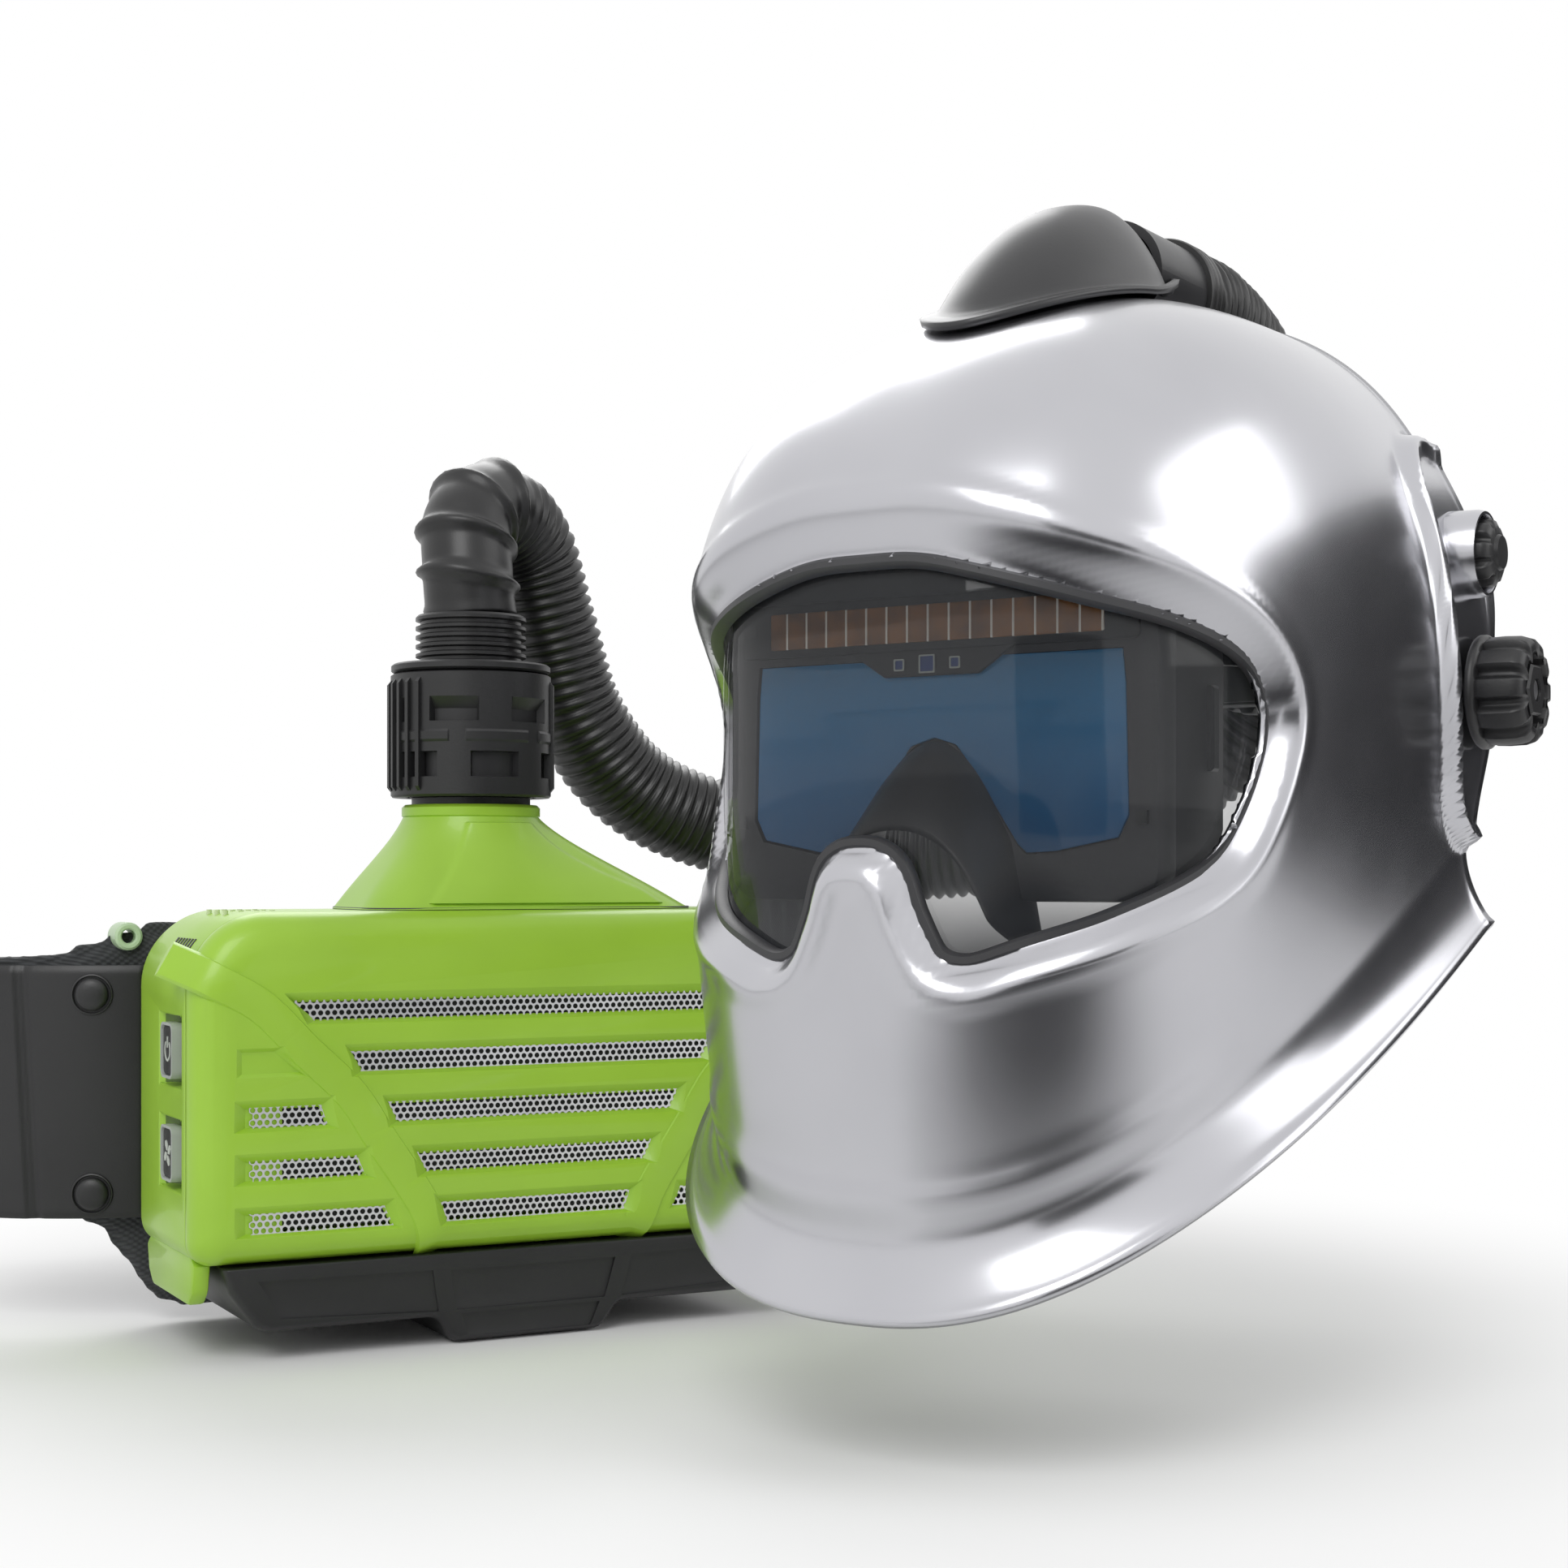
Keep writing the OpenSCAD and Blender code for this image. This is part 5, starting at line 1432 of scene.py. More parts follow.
class RESPIRATOR_OT_air_dome(bpy.types.Operator):
    """Builds the teardrop air dome with its brim on the crown"""

    bl_idname = "respirator.air_dome"
    bl_label = "Air dome"

    def execute(self, context):
        rings, steps = 44, 120
        centre_v, half_u, half_v, rise, lean = 0.078, 0.035, 0.068, 0.032, 0.022
        verts = []
        for i in range(rings + 1):
            r = max(i / rings, 1e-4)
            for a in turns(steps):
                u = half_u * r * math.cos(a)
                v = centre_v - lean * (1 - r) - half_v * r * math.sin(a)
                swell = rise * max(0.0, 1 - (r / 0.9) ** 2.2) ** 0.85 if r < 0.9 else 0.0
                behind = smoothstep((math.sin(a) - 0.1) / 0.8)
                brim = 0.0026 + (0.0016 + 0.0075 * behind) * smoothstep((r - 0.86) / 0.07)
                z = float(crown_height(u, v)) + swell + brim
                verts.append(on_helmet((u, -v, z)))
        faces = grid_faces(rings + 1, steps, wrap=True)
        top = len(verts)
        peak_v = centre_v - lean
        verts.append(on_helmet((0, -peak_v, float(crown_height(0, peak_v)) + rise + 0.0026)))
        faces += [(top, j, (j + 1) % steps) for j in range(steps)]
        dome = piece("dome_cap", verts, faces, "dome_plastic", replaces=("air_dome",))
        tidy_sheet(dome)
        sheet_wall(dome, "dome_plastic", 0.0024)
        return {"FINISHED"}


# Keys and latch


class RESPIRATOR_OT_keys(bpy.types.Operator):
    """Builds the two keys with their symbols, the green key channel, the level marks and the latch"""

    bl_idname = "respirator.keys"
    bl_label = "Keys and latch"

    def execute(self, context):
        for z, body, node, name in ((KEY_ZS[0], "power_key", "power_button", "power"),
                                    (KEY_ZS[1], "speed_key", "fan_speed_button", "speed")):
            place = lambda p, z=z: (-SIDE_X - p[2], KEY_Y - p[0], z + p[1])
            slab(name + "_key", rounded_plate(0.0074, -0.0092, 0.0092, 0.0022), -0.003, 0.0008, place,
                 "key_face", body, 0.0007, replaces=(node,))
            hoop(name + "_rim", rounded_plate(0.0088, -0.0104, 0.0104, 0.0034),
                 rounded_plate(0.0076, -0.0094, 0.0094, 0.0024), -0.0032, 0.0015, place, "grey_key", body)
            shapes = self.power_sign() if name == "power" else self.fan_sign()
            solids_piece(name + "_sign", [wedge_solid([[place((x, y, d)) for x, y in shape]
                                                       for d in (0.0005, 0.0011)])
                                          for shape in shapes], "sign_grey", body)
        self.channel_liner()
        self.level_marks()
        self.latch()
        return {"FINISHED"}

    def power_sign(self):
        """An open circle with an upright bar."""
        shapes = []
        for k in range(20):
            a0, a1 = (math.radians(130 + 280 * (k + j) / 20) for j in (0, 1))
            shapes.append([(r * math.cos(a), r * math.sin(a)) for r, a in (
                (0.0042, a0), (0.0042, a1), (0.0033, a1), (0.0033, a0))])
        shapes.append([(-0.0005, 0.001), (0.0005, 0.001), (0.0005, 0.0052), (-0.0005, 0.0052)])
        return shapes

    def fan_sign(self):
        """Four fan blades."""
        shapes = []
        for k in range(4):
            turn = math.pi / 2 * k + 0.3
            blade = [(0.0008, -0.0004), (0.003, -0.0012), (0.005, 0.0002), (0.005, 0.0018), (0.0034, 0.0022),
                     (0.0014, 0.001)]
            shapes.append([(x * math.cos(turn) - y * math.sin(turn), x * math.sin(turn) + y * math.cos(turn))
                           for x, y in blade])
        return shapes

    def channel_liner(self):
        """The green floor behind the keys."""
        parts = []
        for z0, z1 in KEY_CHANNELS:
            loops = []
            for k in range(25):
                y, deep = channel_floor(-0.97 + 1.94 * k / 24)
                x = -SIDE_X + deep - 0.0003
                loops.append([(x, y, z0 + 0.0002), (x, y, z1 - 0.0002), (x + 0.001, y, z1 - 0.0002),
                              (x + 0.001, y, z0 + 0.0002)])
            parts.append(wedge_solid(loops))
        smooth_by_angle(solids_piece("key_channel_floor", parts, "green_recess", "casing",
                                     ("keypad_frame",)), 30)

    def level_marks(self):
        """Small lit marks in two rows on the casing's shoulder."""
        parts = []
        for row, (turn, long, count) in enumerate(((143, 0.0042, 7), (160, 0.0046, 5))):
            for k in range(count):
                a = math.radians(turn)
                out, along = Vector((math.cos(a), 0, math.sin(a))), Vector((-math.sin(a), 0, math.cos(a)))
                at = Vector((-0.104, -0.022 + k * 0.0042, 0.137)) + out * 0.0297
                slant = 0.0012 * row
                parts.append(wedge_solid([
                    [at + out * rise + along * u + Vector((0, v, 0)) for u, v in (
                        (-long / 2, -0.0008), (long / 2, slant - 0.0008), (long / 2, slant + 0.0008),
                        (-long / 2, 0.0008))] for rise in (0.0, 0.0006)]))
        solids_piece("level_marks", parts, "dark_plastic")

    def latch(self):
        """The bar that holds the battery."""
        outline = [(-0.036, 0.0368), (-0.033, 0.0262), (-0.027, 0.0212), (0.027, 0.0212), (0.033, 0.0262),
                   (0.036, 0.0368), (0.03, 0.0408), (-0.03, 0.0408)]
        slab("latch_bar", outline, 0.1247, 0.1314, lambda p: (-p[2], p[0], p[1]), "lime_plastic",
             "latch", 0.0016, replaces=("battery_latch",))


# Welding filter


def on_front(p):
    """A place given across, up and ahead of the pivots on the helmet."""
    return on_helmet((p[0], -p[2], p[1]))


class RESPIRATOR_OT_dark_filter(bpy.types.Operator):
    """Builds the darkening filter: frame, blue glass, solar strip, sensor bar and nose piece"""

    bl_idname = "respirator.dark_filter"
    bl_label = "Darkening filter"

    def execute(self, context):
        half = [(-0.0655, 0.006), (-0.0665, -0.004), (-0.0675, -0.044), (-0.064, -0.051), (-0.043, -0.055),
                (-0.033, -0.0555), (-0.03, -0.053), (-0.02, -0.038), (-0.014, -0.029), (-0.008, -0.0215)]
        glass = half + [(0.0, -0.019)] + [(-x, y) for x, y in half[::-1]]
        nose = [(0.036, -0.09), (0.028, -0.052), (0.015, -0.0275), (0.0, -0.0172), (-0.015, -0.0275),
                (-0.028, -0.052), (-0.036, -0.09)]
        body = slab("filter_body", rounded_plate(0.0775, -0.0705, 0.0445, 0.01), 0.1465, 0.1598,
                    on_front, "dark_plastic", "casing", 0.0012, replaces=("filter_frame",))
        for name, line, grow, depths in (("window_cut", glass, (1.008, 1.01), (0.152, 0.17)),
                                         ("nose_cut", nose, (1.0, 1.0), (0.14, 0.17))):
            combined(body, name, [wedge_solid([[on_front((x * grow[0], y * grow[1], d)) for x, y in line]
                                               for d in depths])])
        smooth_by_angle(finished_again(body, "dark_plastic"), 30)
        slab("glass_pane", glass, 0.153, 0.1592, on_front, "filter_blue", "casing", 0.0005,
             replaces=("filter_glass",))
        slab("header_panel", rounded_plate(0.072, 0.0085, 0.026, 0.002), 0.1596, 0.161,
             on_front, "black_plastic", "casing", 0.0005)
        slab("solar_cells_strip", rounded_plate(0.0604, 0.0112, 0.023, 0.0008), 0.1606, 0.1616, on_front,
             "solar_amber", "casing", 0.0003, replaces=("solar_strip",))
        bar = [(-0.0295, 0.0086), (-0.017, 0.0004), (0.017, 0.0004), (0.0295, 0.0086)]
        slab("sensor_bar", bar, 0.1596, 0.1614, on_front, "black_plastic", "casing", 0.0004)
        self.sensors()
        self.nose_hood()
        self.wings()
        return {"FINISHED"}

    def sensors(self):
        """Framed light sensors on the bar, and four small dark ones at the corners."""
        for name, u, half in (("sensor_a", -0.0113, 0.0019), ("sensor_b", -0.0011, 0.0029),
                              ("sensor_c", 0.009, 0.0019)):
            place = lambda p, u=u: on_front((u + p[0], SENSOR_Z + p[1], p[2]))
            hoop(name + "_rim", rounded_plate(half, -half, half, 0.0004, 2),
                 rounded_plate(half - 0.0005, 0.0005 - half, half - 0.0005, 0.0003, 2),
                 0.1612, 0.1618, place, "grey_key")
            slab(name, rounded_plate(half - 0.0004, 0.0004 - half, half - 0.0004, 0.0003, 2),
                 0.1611, 0.1615, place, "cell_wrap", "casing", 0.0)
        parts = []
        for side in (1, -1):
            for u, z in ((0.068, 0.018), (0.0725, -0.045)):
                outline = [(side * (u + dx), z + dz) for dx, dz in (
                    (-0.0018, -0.002), (0.0018, -0.002), (0.0018, 0.002), (-0.0018, 0.002))]
                parts.append(wedge_solid([[on_front((x, y, d)) for x, y in outline]
                                          for d in (0.1594, 0.1612)]))
        solids_piece("corner_sensors", parts, "key_face", "casing", ("sensor_windows",))

    def nose_hood(self):
        """The arched guard from the filter forward to the notch of the lens."""
        back = ((0.0345, -0.086), (0.0268, -0.051), (0.0142, -0.027), (0.0, -0.0178))
        verts = []
        for d, half in (
                (0.147, back), (0.1605, back),
                (0.172, ((0.035, -0.082), (0.0262, -0.056), (0.0138, -0.038), (0.0, -0.033))),
                (0.185, ((0.035, -0.076), (0.024, -0.059), (0.0125, -0.051), (0.0, -0.0485)))):
            arch = [np.array(p) for p in [*half, *((-x, y) for x, y in half[-2::-1])]]
            verts += [on_front((*route_point(arch, k / 36), d)) for k in range(37)]
        hood = piece("nose_hood", verts, grid_faces(4, 37), "black_plastic", replaces=("nose_piece",))
        tidy_sheet(hood, on_front((0.0, -0.08, 0.165)))
        bake(hood, ("SOLIDIFY", {"thickness": 0.0022, "offset": -1.0}), ("SUBSURF", {"levels": 1}))
        finished_again(hood, "black_plastic")

    def wings(self):
        """Side panels that run back from the filter, with the clips that hold it."""
        outline = [(0.1085, -0.056), (0.147, -0.066), (0.147, 0.04), (0.1085, 0.03), (0.103, 0.022),
                   (0.103, -0.048)]
        parts = []
        for side, name in ((1, "left"), (-1, "right")):
            def place(p):
                across = FILTER_SIDE + p[2] - WING_SPLAY * max(0.0, FILTER_BACK - p[0])
                return on_helmet((side * across, -p[0], p[1]))
            slab("filter_wing_" + name, outline, 0.0, 0.0026, place, "dark_plastic", "casing", 0.0006)
            parts.append(wedge_solid([[place((v, z, d)) for v, z in (
                (0.112 - grow, -0.03 - grow), (0.118 + grow, -0.03 - grow),
                (0.118 + grow, -0.003 + grow), (0.112 - grow, -0.003 + grow))]
                for d, grow in ((0.001, 0.0), (0.004, 0.0), (0.0048, -0.001))]))
        solids_piece("cassette_clips", parts, "black_plastic", replaces=("lens_clips",))


class RESPIRATOR_OT_gasket(bpy.types.Operator):
    """Builds the dark gasket between the bezel and the lens"""

    bl_idname = "respirator.gasket"
    bl_label = "Lens gasket"

    def execute(self, context):
        ring = visor_curve()
        ahead = np.roll(ring, -1, axis=0) - np.roll(ring, 1, axis=0)
        ahead /= np.linalg.norm(ahead, axis=1)[:, None]
        inward = np.stack([-ahead[:, 1], ahead[:, 0]], axis=1)
        if outline_field((ring + inward * 0.002)[None], ring)[0].mean() < 0:
            inward = -inward
        keep = np.ones(len(ring), bool)
        for reach in (-0.0022, 0.0022):
            at = ring + inward * (bezel_width(ring[:, 1]) + reach)[:, None]
            depth, _ = outline_field(at[None], ring)
            keep &= depth[0] > bezel_width(ring[:, 1]) + reach - 0.001
        rings = []
        for reach, off in ((-0.0022, 0.008), (-0.0008, 0.0068), (0.0012, 0.007), (0.0022, 0.0084),
                           (0.0022, 0.011), (-0.0022, 0.011)):
            at = (ring + inward * (bezel_width(ring[:, 1]) + reach)[:, None])[keep]
            t = np.interp(at[:, 0], ARC_S, ARC_T)
            rings.append([on_helmet(p) for p in helmet_surface(t, at[:, 1], off)])
        gasket = looped("gasket_ring", rings, "dark_plastic", replaces=("lens_gasket",))
        smooth_by_angle(gasket, 40)
        return {"FINISHED"}


# Headgear


def band_point(run, grow=0.0):
    """A place on the headband's plan, run being a share of the way round from the rear."""
    r, straight, around = BAND_R + grow, 2 * BAND_HALF, math.pi * BAND_R
    rear, front = BAND_MIDDLE + BAND_HALF, BAND_MIDDLE - BAND_HALF
    s = (run % 1.0) * 2 * (around + straight) + around / 2
    for middle, side in ((rear, 1), (front, -1), (rear, 1)):
        if s < around:
            a = s / BAND_R
            return -side * r * math.cos(a), middle + side * r * math.sin(a)
        s -= around
        if s < straight:
            return side * r, middle - side * s
        s -= straight
    return -r, rear


class RESPIRATOR_OT_headgear(bpy.types.Operator):
    """Builds the headband, crown straps, ratchet housing and brow pad"""

    bl_idname = "respirator.headgear"
    bl_label = "Headgear"

    def execute(self, context):
        self.band()
        self.straps()
        outline = rounded_plate(0.032, 0.0045, 0.0335, 0.0115)
        slab("ratchet_case", outline, 0.0772, 0.0879, lambda p: on_helmet((p[0], p[2], p[1])),
             "black_plastic", "headgear", 0.0022, replaces=("ratchet_housing",))
        self.pad()
        return {"FINISHED"}

    def band(self):
        """The headband with its two rows of holes."""
        section = [(0.0, 0.0062), (0.0004, 0.0316), (-0.0004, 0.0319), (-0.0018, 0.0319), (-0.0022, 0.0314),
                   (-0.0022, 0.0066), (-0.0018, 0.0061), (-0.0004, 0.0061)]
        count = 150
        loops = [[on_helmet((*band_point(k / count, grow), z)) for grow, z in section] for k in range(count)]
        band = looped("head_band", loops, "headgear_plastic", "headgear", replaces=("headband",))
        bars = []
        for k in range(17):
            run = 0.34 + 0.02 * k
            for z in (BAND_Z - 0.006, BAND_Z + 0.006):
                ends = [on_helmet((*band_point(run, grow), z)) for grow in (0.004, -0.007)]
                bars.append(round_bar(*ends, 0.0022, 12))
        combined(band, "band_holes", bars)
        smooth_by_angle(finished_again(band, "headgear_plastic"), 40)

    def straps(self):
        """Two perforated straps over the head."""
        for k, v in enumerate((-0.002, 0.042)):
            loops = []
            for j in range(61):
                a = math.pi * j / 60
                loops.append([on_helmet(((STRAP_R - inset) * math.cos(a), -v + w,
                                         STRAP_BASE + (STRAP_R - inset) * math.sin(a)))
                              for inset, w in (
                                  (0.0, -0.0054), (0.0, 0.0054), (0.0004, 0.006), (0.0014, 0.006),
                                  (0.0018, 0.0054), (0.0018, -0.0054), (0.0014, -0.006), (0.0004, -0.006))])
            strap = stacked("crown_strap_%d" % (k + 1), loops, "headgear_plastic", "headgear",
                            replaces=("crown_straps",) if k == 0 else ())
            bars = []
            for j in range(-6, 7):
                a = math.pi / 2 + j * 0.09
                spots = [on_helmet((r * math.cos(a), -v, STRAP_BASE + r * math.sin(a)))
                         for r in (STRAP_R + 0.006, STRAP_R - 0.007)]
                bars.append(round_bar(*spots, 0.0019, 12))
            combined(strap, "strap_holes", bars)
            smooth_by_angle(finished_again(strap, "headgear_plastic"), 40)

    def pad(self):
        """The foam pad on the brow."""
        loops = []
        for k in range(41):
            run = 0.5 + (k - 20) / 20 * 0.108
            thin = 0.55 + 0.45 * float(smoothstep(min(k, 40 - k) / 5))
            loops.append([on_helmet((*band_point(run, -0.0056 + 0.0024 * c * thin),
                                     BAND_Z + 0.0098 * s * thin)) for c, s in soft_square(20, 0.5)])
        pad = stacked("brow_cushion", loops, "foam", "headgear", replaces=("brow_pad",))
        filled_out(pad, 0.004, 3.0, 0.0011)
        finished_again(pad, "foam")


def filled_out(obj, cell, pressure, limit):
    """Swells a padded piece by a cloth simulation of its cover, and never by more than a limit."""
    bake(obj, ("REMESH", {"mode": "VOXEL", "voxel_size": cell}))
    scene = bpy.context.scene
    cloth = obj.modifiers.new("Cover", "CLOTH")
    for key, value in (("quality", 4), ("mass", 0.2), ("tension_stiffness", 12.0),
                       ("compression_stiffness", 12.0), ("bending_stiffness", 0.6),
                       ("use_pressure", True), ("uniform_pressure_force", pressure)):
        setattr(cloth.settings, key, value)
    cloth.settings.effector_weights.gravity = 0.0
    cloth.point_cache.frame_start = 1
    cloth.point_cache.frame_end = 20
    before = np.array([v.co[:] for v in obj.data.vertices])
    for number in range(1, 21):
        scene.frame_set(number)
    graph = bpy.context.evaluated_depsgraph_get()
    swollen = bpy.data.meshes.new_from_object(obj.evaluated_get(graph))
    after = np.array([v.co[:] for v in swollen.vertices])
    obj.modifiers.clear()
    move = after - before
    length = np.linalg.norm(move, axis=1)
    move *= (np.minimum(length, limit) / np.maximum(length, 1e-9))[:, None]
    obj.data.vertices.foreach_set("co", (before + move).ravel())
    bpy.data.meshes.remove(swollen)
    scene.frame_set(1)
    bake(obj, ("SMOOTH", {"factor": 0.5, "iterations": 2}), ("SUBSURF", {"levels": 1}))


class RESPIRATOR_OT_face_seal(bpy.types.Operator):
    """Builds the gathered cloth seal inside the helmet's rim"""

    bl_idname = "respirator.face_seal"
    bl_label = "Face seal"

    def execute(self, context):
        count, rows = 220, 14
        t = np.radians(np.linspace(-84, 84, count))[:, None] * np.ones((1, rows))
        up = np.linspace(0, 1, rows)[None, :]
        z = rim_height(t) + FLARE_H + 0.003 + 0.032 * up
        fold = np.sin(t * 90.0 + 1.4 * np.sin(t * 11.0)) * 0.0009 * np.sin(math.pi * up)
        off = SHELL_WALL + 0.0014 + 0.0016 * np.sin(math.pi * up * 0.9)
        at = helmet_surface(t, z, off + fold)
        seal = helmet_sheet("seal_cloth_band", at, "seal_cloth", replaces=("face_seal",))
        sheet_wall(seal, "seal_cloth", 0.0008)
        return {"FINISHED"}


# Belt


def belt_point(run, off=0.0):
    """The belt's plan from the front's middle: off is counted towards the wearer."""
    side, s, r = math.copysign(1.0, run), abs(run), BELT_BEND - off
    quarter = BELT_BEND * math.pi / 2
    front, rear = BELT_FRONT + BELT_BEND, BELT_FRONT + BELT_BEND + BELT_DEPTH
    if s < BELT_FLAT:
        return side * s, BELT_FRONT + off
    s -= BELT_FLAT
    if s < quarter:
        return side * (BELT_FLAT + r * math.sin(s / BELT_BEND)), front - r * math.cos(s / BELT_BEND)
    s -= quarter
    if s < BELT_DEPTH:
        return side * (BELT_FLAT + r), front + s
    s -= BELT_DEPTH
    if s < quarter:
        return side * (BELT_FLAT + r * math.cos(s / BELT_BEND)), rear + r * math.sin(s / BELT_BEND)
    return side * (BELT_FLAT - (s - quarter)), rear + r


PAD_EDGE = np.array([(0, 43, 15), (108, 43, 15), (120, 42, 15), (127, 37, 14.5), (133, 27, 12.5),
                     (139, 16, 10), (146, 9, 7), (158, 4, 3), (172, 1, 1), (185, 0, 0), (230, 0, 0)]) / 1000.0


def pad_limits(x):
    """The pad's lower and upper edge at a distance from its middle."""
    x = abs(x)
    return (0.045 - float(np.interp(x, PAD_EDGE[:, 0], PAD_EDGE[:, 1])),
            0.151 + float(np.interp(x, PAD_EDGE[:, 0], PAD_EDGE[:, 2])))


class RESPIRATOR_OT_belt(bpy.types.Operator):
    """Builds the padded belt with its plates, rivets, eyelets, strap and buckle"""

    bl_idname = "respirator.belt"
    bl_label = "Belt"

    def execute(self, context):
        self.pad()
        for side, name in ((-1, "left"), (1, "right")):
            self.plate(side, name)
        self.rivets()
        self.eyelets()
        self.strap()
        self.buckle()
        return {"FINISHED"}

    def pad(self):
        """The padded back of the belt, with a stitched groove inside its edge."""
        loops = []
        for k in range(121):
            run = -0.256 + 0.512 * k / 120
            low, high = pad_limits(belt_point(run, 0.008)[0])
            end = float(smoothstep(min(k, 120 - k) / 4)) * 0.4 + 0.6
            loops.append([(*belt_point(run, 0.0079 - 0.003 * c * end),
                           (low + high) / 2 + ((high - low) / 2 - 0.0018) * s)
                          for c, s in soft_square(36, 0.35)])
        pad = stacked("belt_cushion", loops, "belt_cloth", replaces=("belt_pad",))
        filled_out(pad, 0.0045, 4.0, 0.0016)
        for vert in pad.data.vertices:
            low, high = pad_limits(vert.co.x)
            edge = min(vert.co.z - low, high - vert.co.z)
            sink = 0.0011 * math.exp(-(((edge - 0.0085) / 0.0022) ** 2))
            middle = belt_point(math.copysign(self.run_of(vert.co), vert.co.x), 0.0079)
            towards = Vector((middle[0] - vert.co.x, middle[1] - vert.co.y, 0.0))
            if towards.length > 1e-5:
                vert.co += towards.normalized() * min(sink, towards.length * 0.8)
        finished_again(pad, "belt_cloth")

    def run_of(self, at):
        """How far round the belt a place lies from the front's middle."""
        x = abs(at.x)
        if x <= BELT_FLAT and at.y < 0.17:
            return x
        return BELT_FLAT + BELT_BEND * math.atan2(x - BELT_FLAT, BELT_FRONT + BELT_BEND - at.y)

    def plate(self, side, name):
        """A moulded plate with a groove and a raised wedge, curved round the bend."""
        rows, cols = 110, 60
        verts = []
        for i in range(rows):
            along = PLATE_LONG * i / (rows - 1)
            run = PLATE_START + along
            for j in range(cols):
                up = PLATE_TALL * j / (cols - 1)
                away = along - 0.042 - 0.006 * up / PLATE_TALL
                groove = 0.0009 * math.exp(-((away / 0.0016) ** 2))
                raised = 0.001 * float(smoothstep((away - 0.003) / 0.0016))
                wedge = along - 0.06 - 0.18 * abs(up - PLATE_TALL / 2)
                raised += 0.0009 * float(smoothstep(wedge / 0.0014))
                edge = min(along, PLATE_LONG - along, up, PLATE_TALL - up)
                soft = 0.0011 * (1 - float(smoothstep(edge / 0.0022)))
                x, y = belt_point(side * run, -0.0024 + groove - raised + soft)
                verts.append((x, y, PLATE_LOW + up))
        plate = piece("belt_plate_skin_" + name, verts, grid_faces(rows, cols), "black_plastic",
                      replaces=("belt_plate_" + name,))
        tidy_sheet(plate, Vector((0.0, 0.17, 0.1)))
        smooth_by_angle(sheet_wall(plate, "black_plastic", 0.002), 40)

    def rivets(self):
        """A domed rivet in a raised ring, twice on each side."""
        for side in (-1, 1):
            for z in (0.0535, 0.133):
                a = math.radians(22.2)
                out = Vector((side * math.sin(a), -math.cos(a), 0.0))
                along = Vector((side * math.cos(a), math.sin(a), 0.0))
                middle = Vector((side * BELT_FLAT, BELT_FRONT + BELT_BEND, z))

                def place(p):
                    return middle + out * (BELT_BEND + p[2]) + along * p[0] + Vector((0, 0, p[1]))
                name = "rivet_%s_%s" % ("left" if side < 0 else "right", "low" if z < 0.1 else "high")
                head = [(0.0, 0.0054), (0.0028, 0.0053), (0.0052, 0.0048), (0.0062, 0.0041), (0.0065, 0.0034),
                        (0.0065, 0.002), (0.0, 0.002)]
                lathe(name, head, place, "black_plastic", "casing", 40,
                      replaces=("belt_rivets",) if name == "rivet_left_low" else ())
                ring = [(0.0072, 0.002), (0.0072, 0.003), (0.0076, 0.0034), (0.0081, 0.0032), (0.0083, 0.002)]
                lathe(name + "_ring", ring, place, "black_plastic", "casing", 40)

    def eyelets(self):
        """Two rings for the braces."""
        for side, name in ((-1, "left"), (1, "right")):
            def place(p):
                return (side * EYELET.x + p[0], EYELET.y + p[2], EYELET.z + p[1])
            ring = [(0.0028, -0.0012), (0.0034, -0.0019), (0.0046, -0.002), (0.0055, -0.0012),
                    (0.0057, -0.0002), (0.0057, 0.011), (0.0046, 0.0119), (0.0034, 0.0118), (0.0028, 0.011)]
            lathe("eyelet_ring_" + name, ring, place, "eyelet_green", "casing", 64,
                  replaces=("belt_eyelets",) if side < 0 else ())

    def strap(self):
        """The webbing behind the wearer, with a gap for the buckle."""
        reach = BELT_FLAT * 2 + BELT_BEND * math.pi + BELT_DEPTH - 0.0385
        loops = []
        for k in range(241):
            run = -reach + 2 * reach * k / 240
            loops.append([(*belt_point(run, off), STRAP_Z + dz) for off, dz in (
                (0.0007, -0.0183), (0.0007, 0.0183), (0.0011, 0.0189), (0.0025, 0.0189), (0.0029, 0.0183),
                (0.0029, -0.0183), (0.0025, -0.0189), (0.0011, -0.0189))])
        smooth_by_angle(stacked("waist_webbing", loops, "webbing", replaces=("waist_strap",)), 50)

    def buckle(self):
        """The housing, the prongs that snap into it and their grip."""
        y = 0.2822

        def upright_place(p):
            return (p[0], y + p[2], STRAP_Z + p[1])
        socket = [(-0.006, -0.017), (-0.002, -0.024), (0.03, -0.024), (0.038, -0.0205), (0.038, 0.0205),
                  (0.03, 0.024), (-0.002, 0.024), (-0.006, 0.017)]
        shell = slab("buckle_housing", socket, -0.0068, 0.0068, upright_place, "black_plastic", "casing",
                     0.0, replaces=("buckle_socket",))
        corners = ((-1, -1), (1, -1), (1, 1), (-1, 1))
        room = [wedge_solid([[upright_place((x + a * half_x, z + b * half_z, d)) for a, b in corners]
                             for d in (-half_y, half_y)])
                for x, z, half_x, half_z, half_y in (
                    (0.007, 0.0, 0.017, 0.0188, 0.0036), (0.014, -0.0235, 0.006, 0.0065, 0.005),
                    (0.014, 0.0235, 0.006, 0.0065, 0.005))]
        combined(shell, "buckle_room", room)
        bevelled(shell, 0.001, 3)
        smooth_by_angle(finished_again(shell, "black_plastic"), 35)
        half = [(-0.038, -0.0205), (-0.033, -0.024), (-0.01, -0.024), (-0.008, -0.018), (0.012, -0.018),
                (0.018, -0.015), (0.018, -0.012), (-0.006, -0.0105), (-0.006, -0.0035), (0.016, -0.0022)]
        tongue = half + [(x, -z) for x, z in half[::-1]]
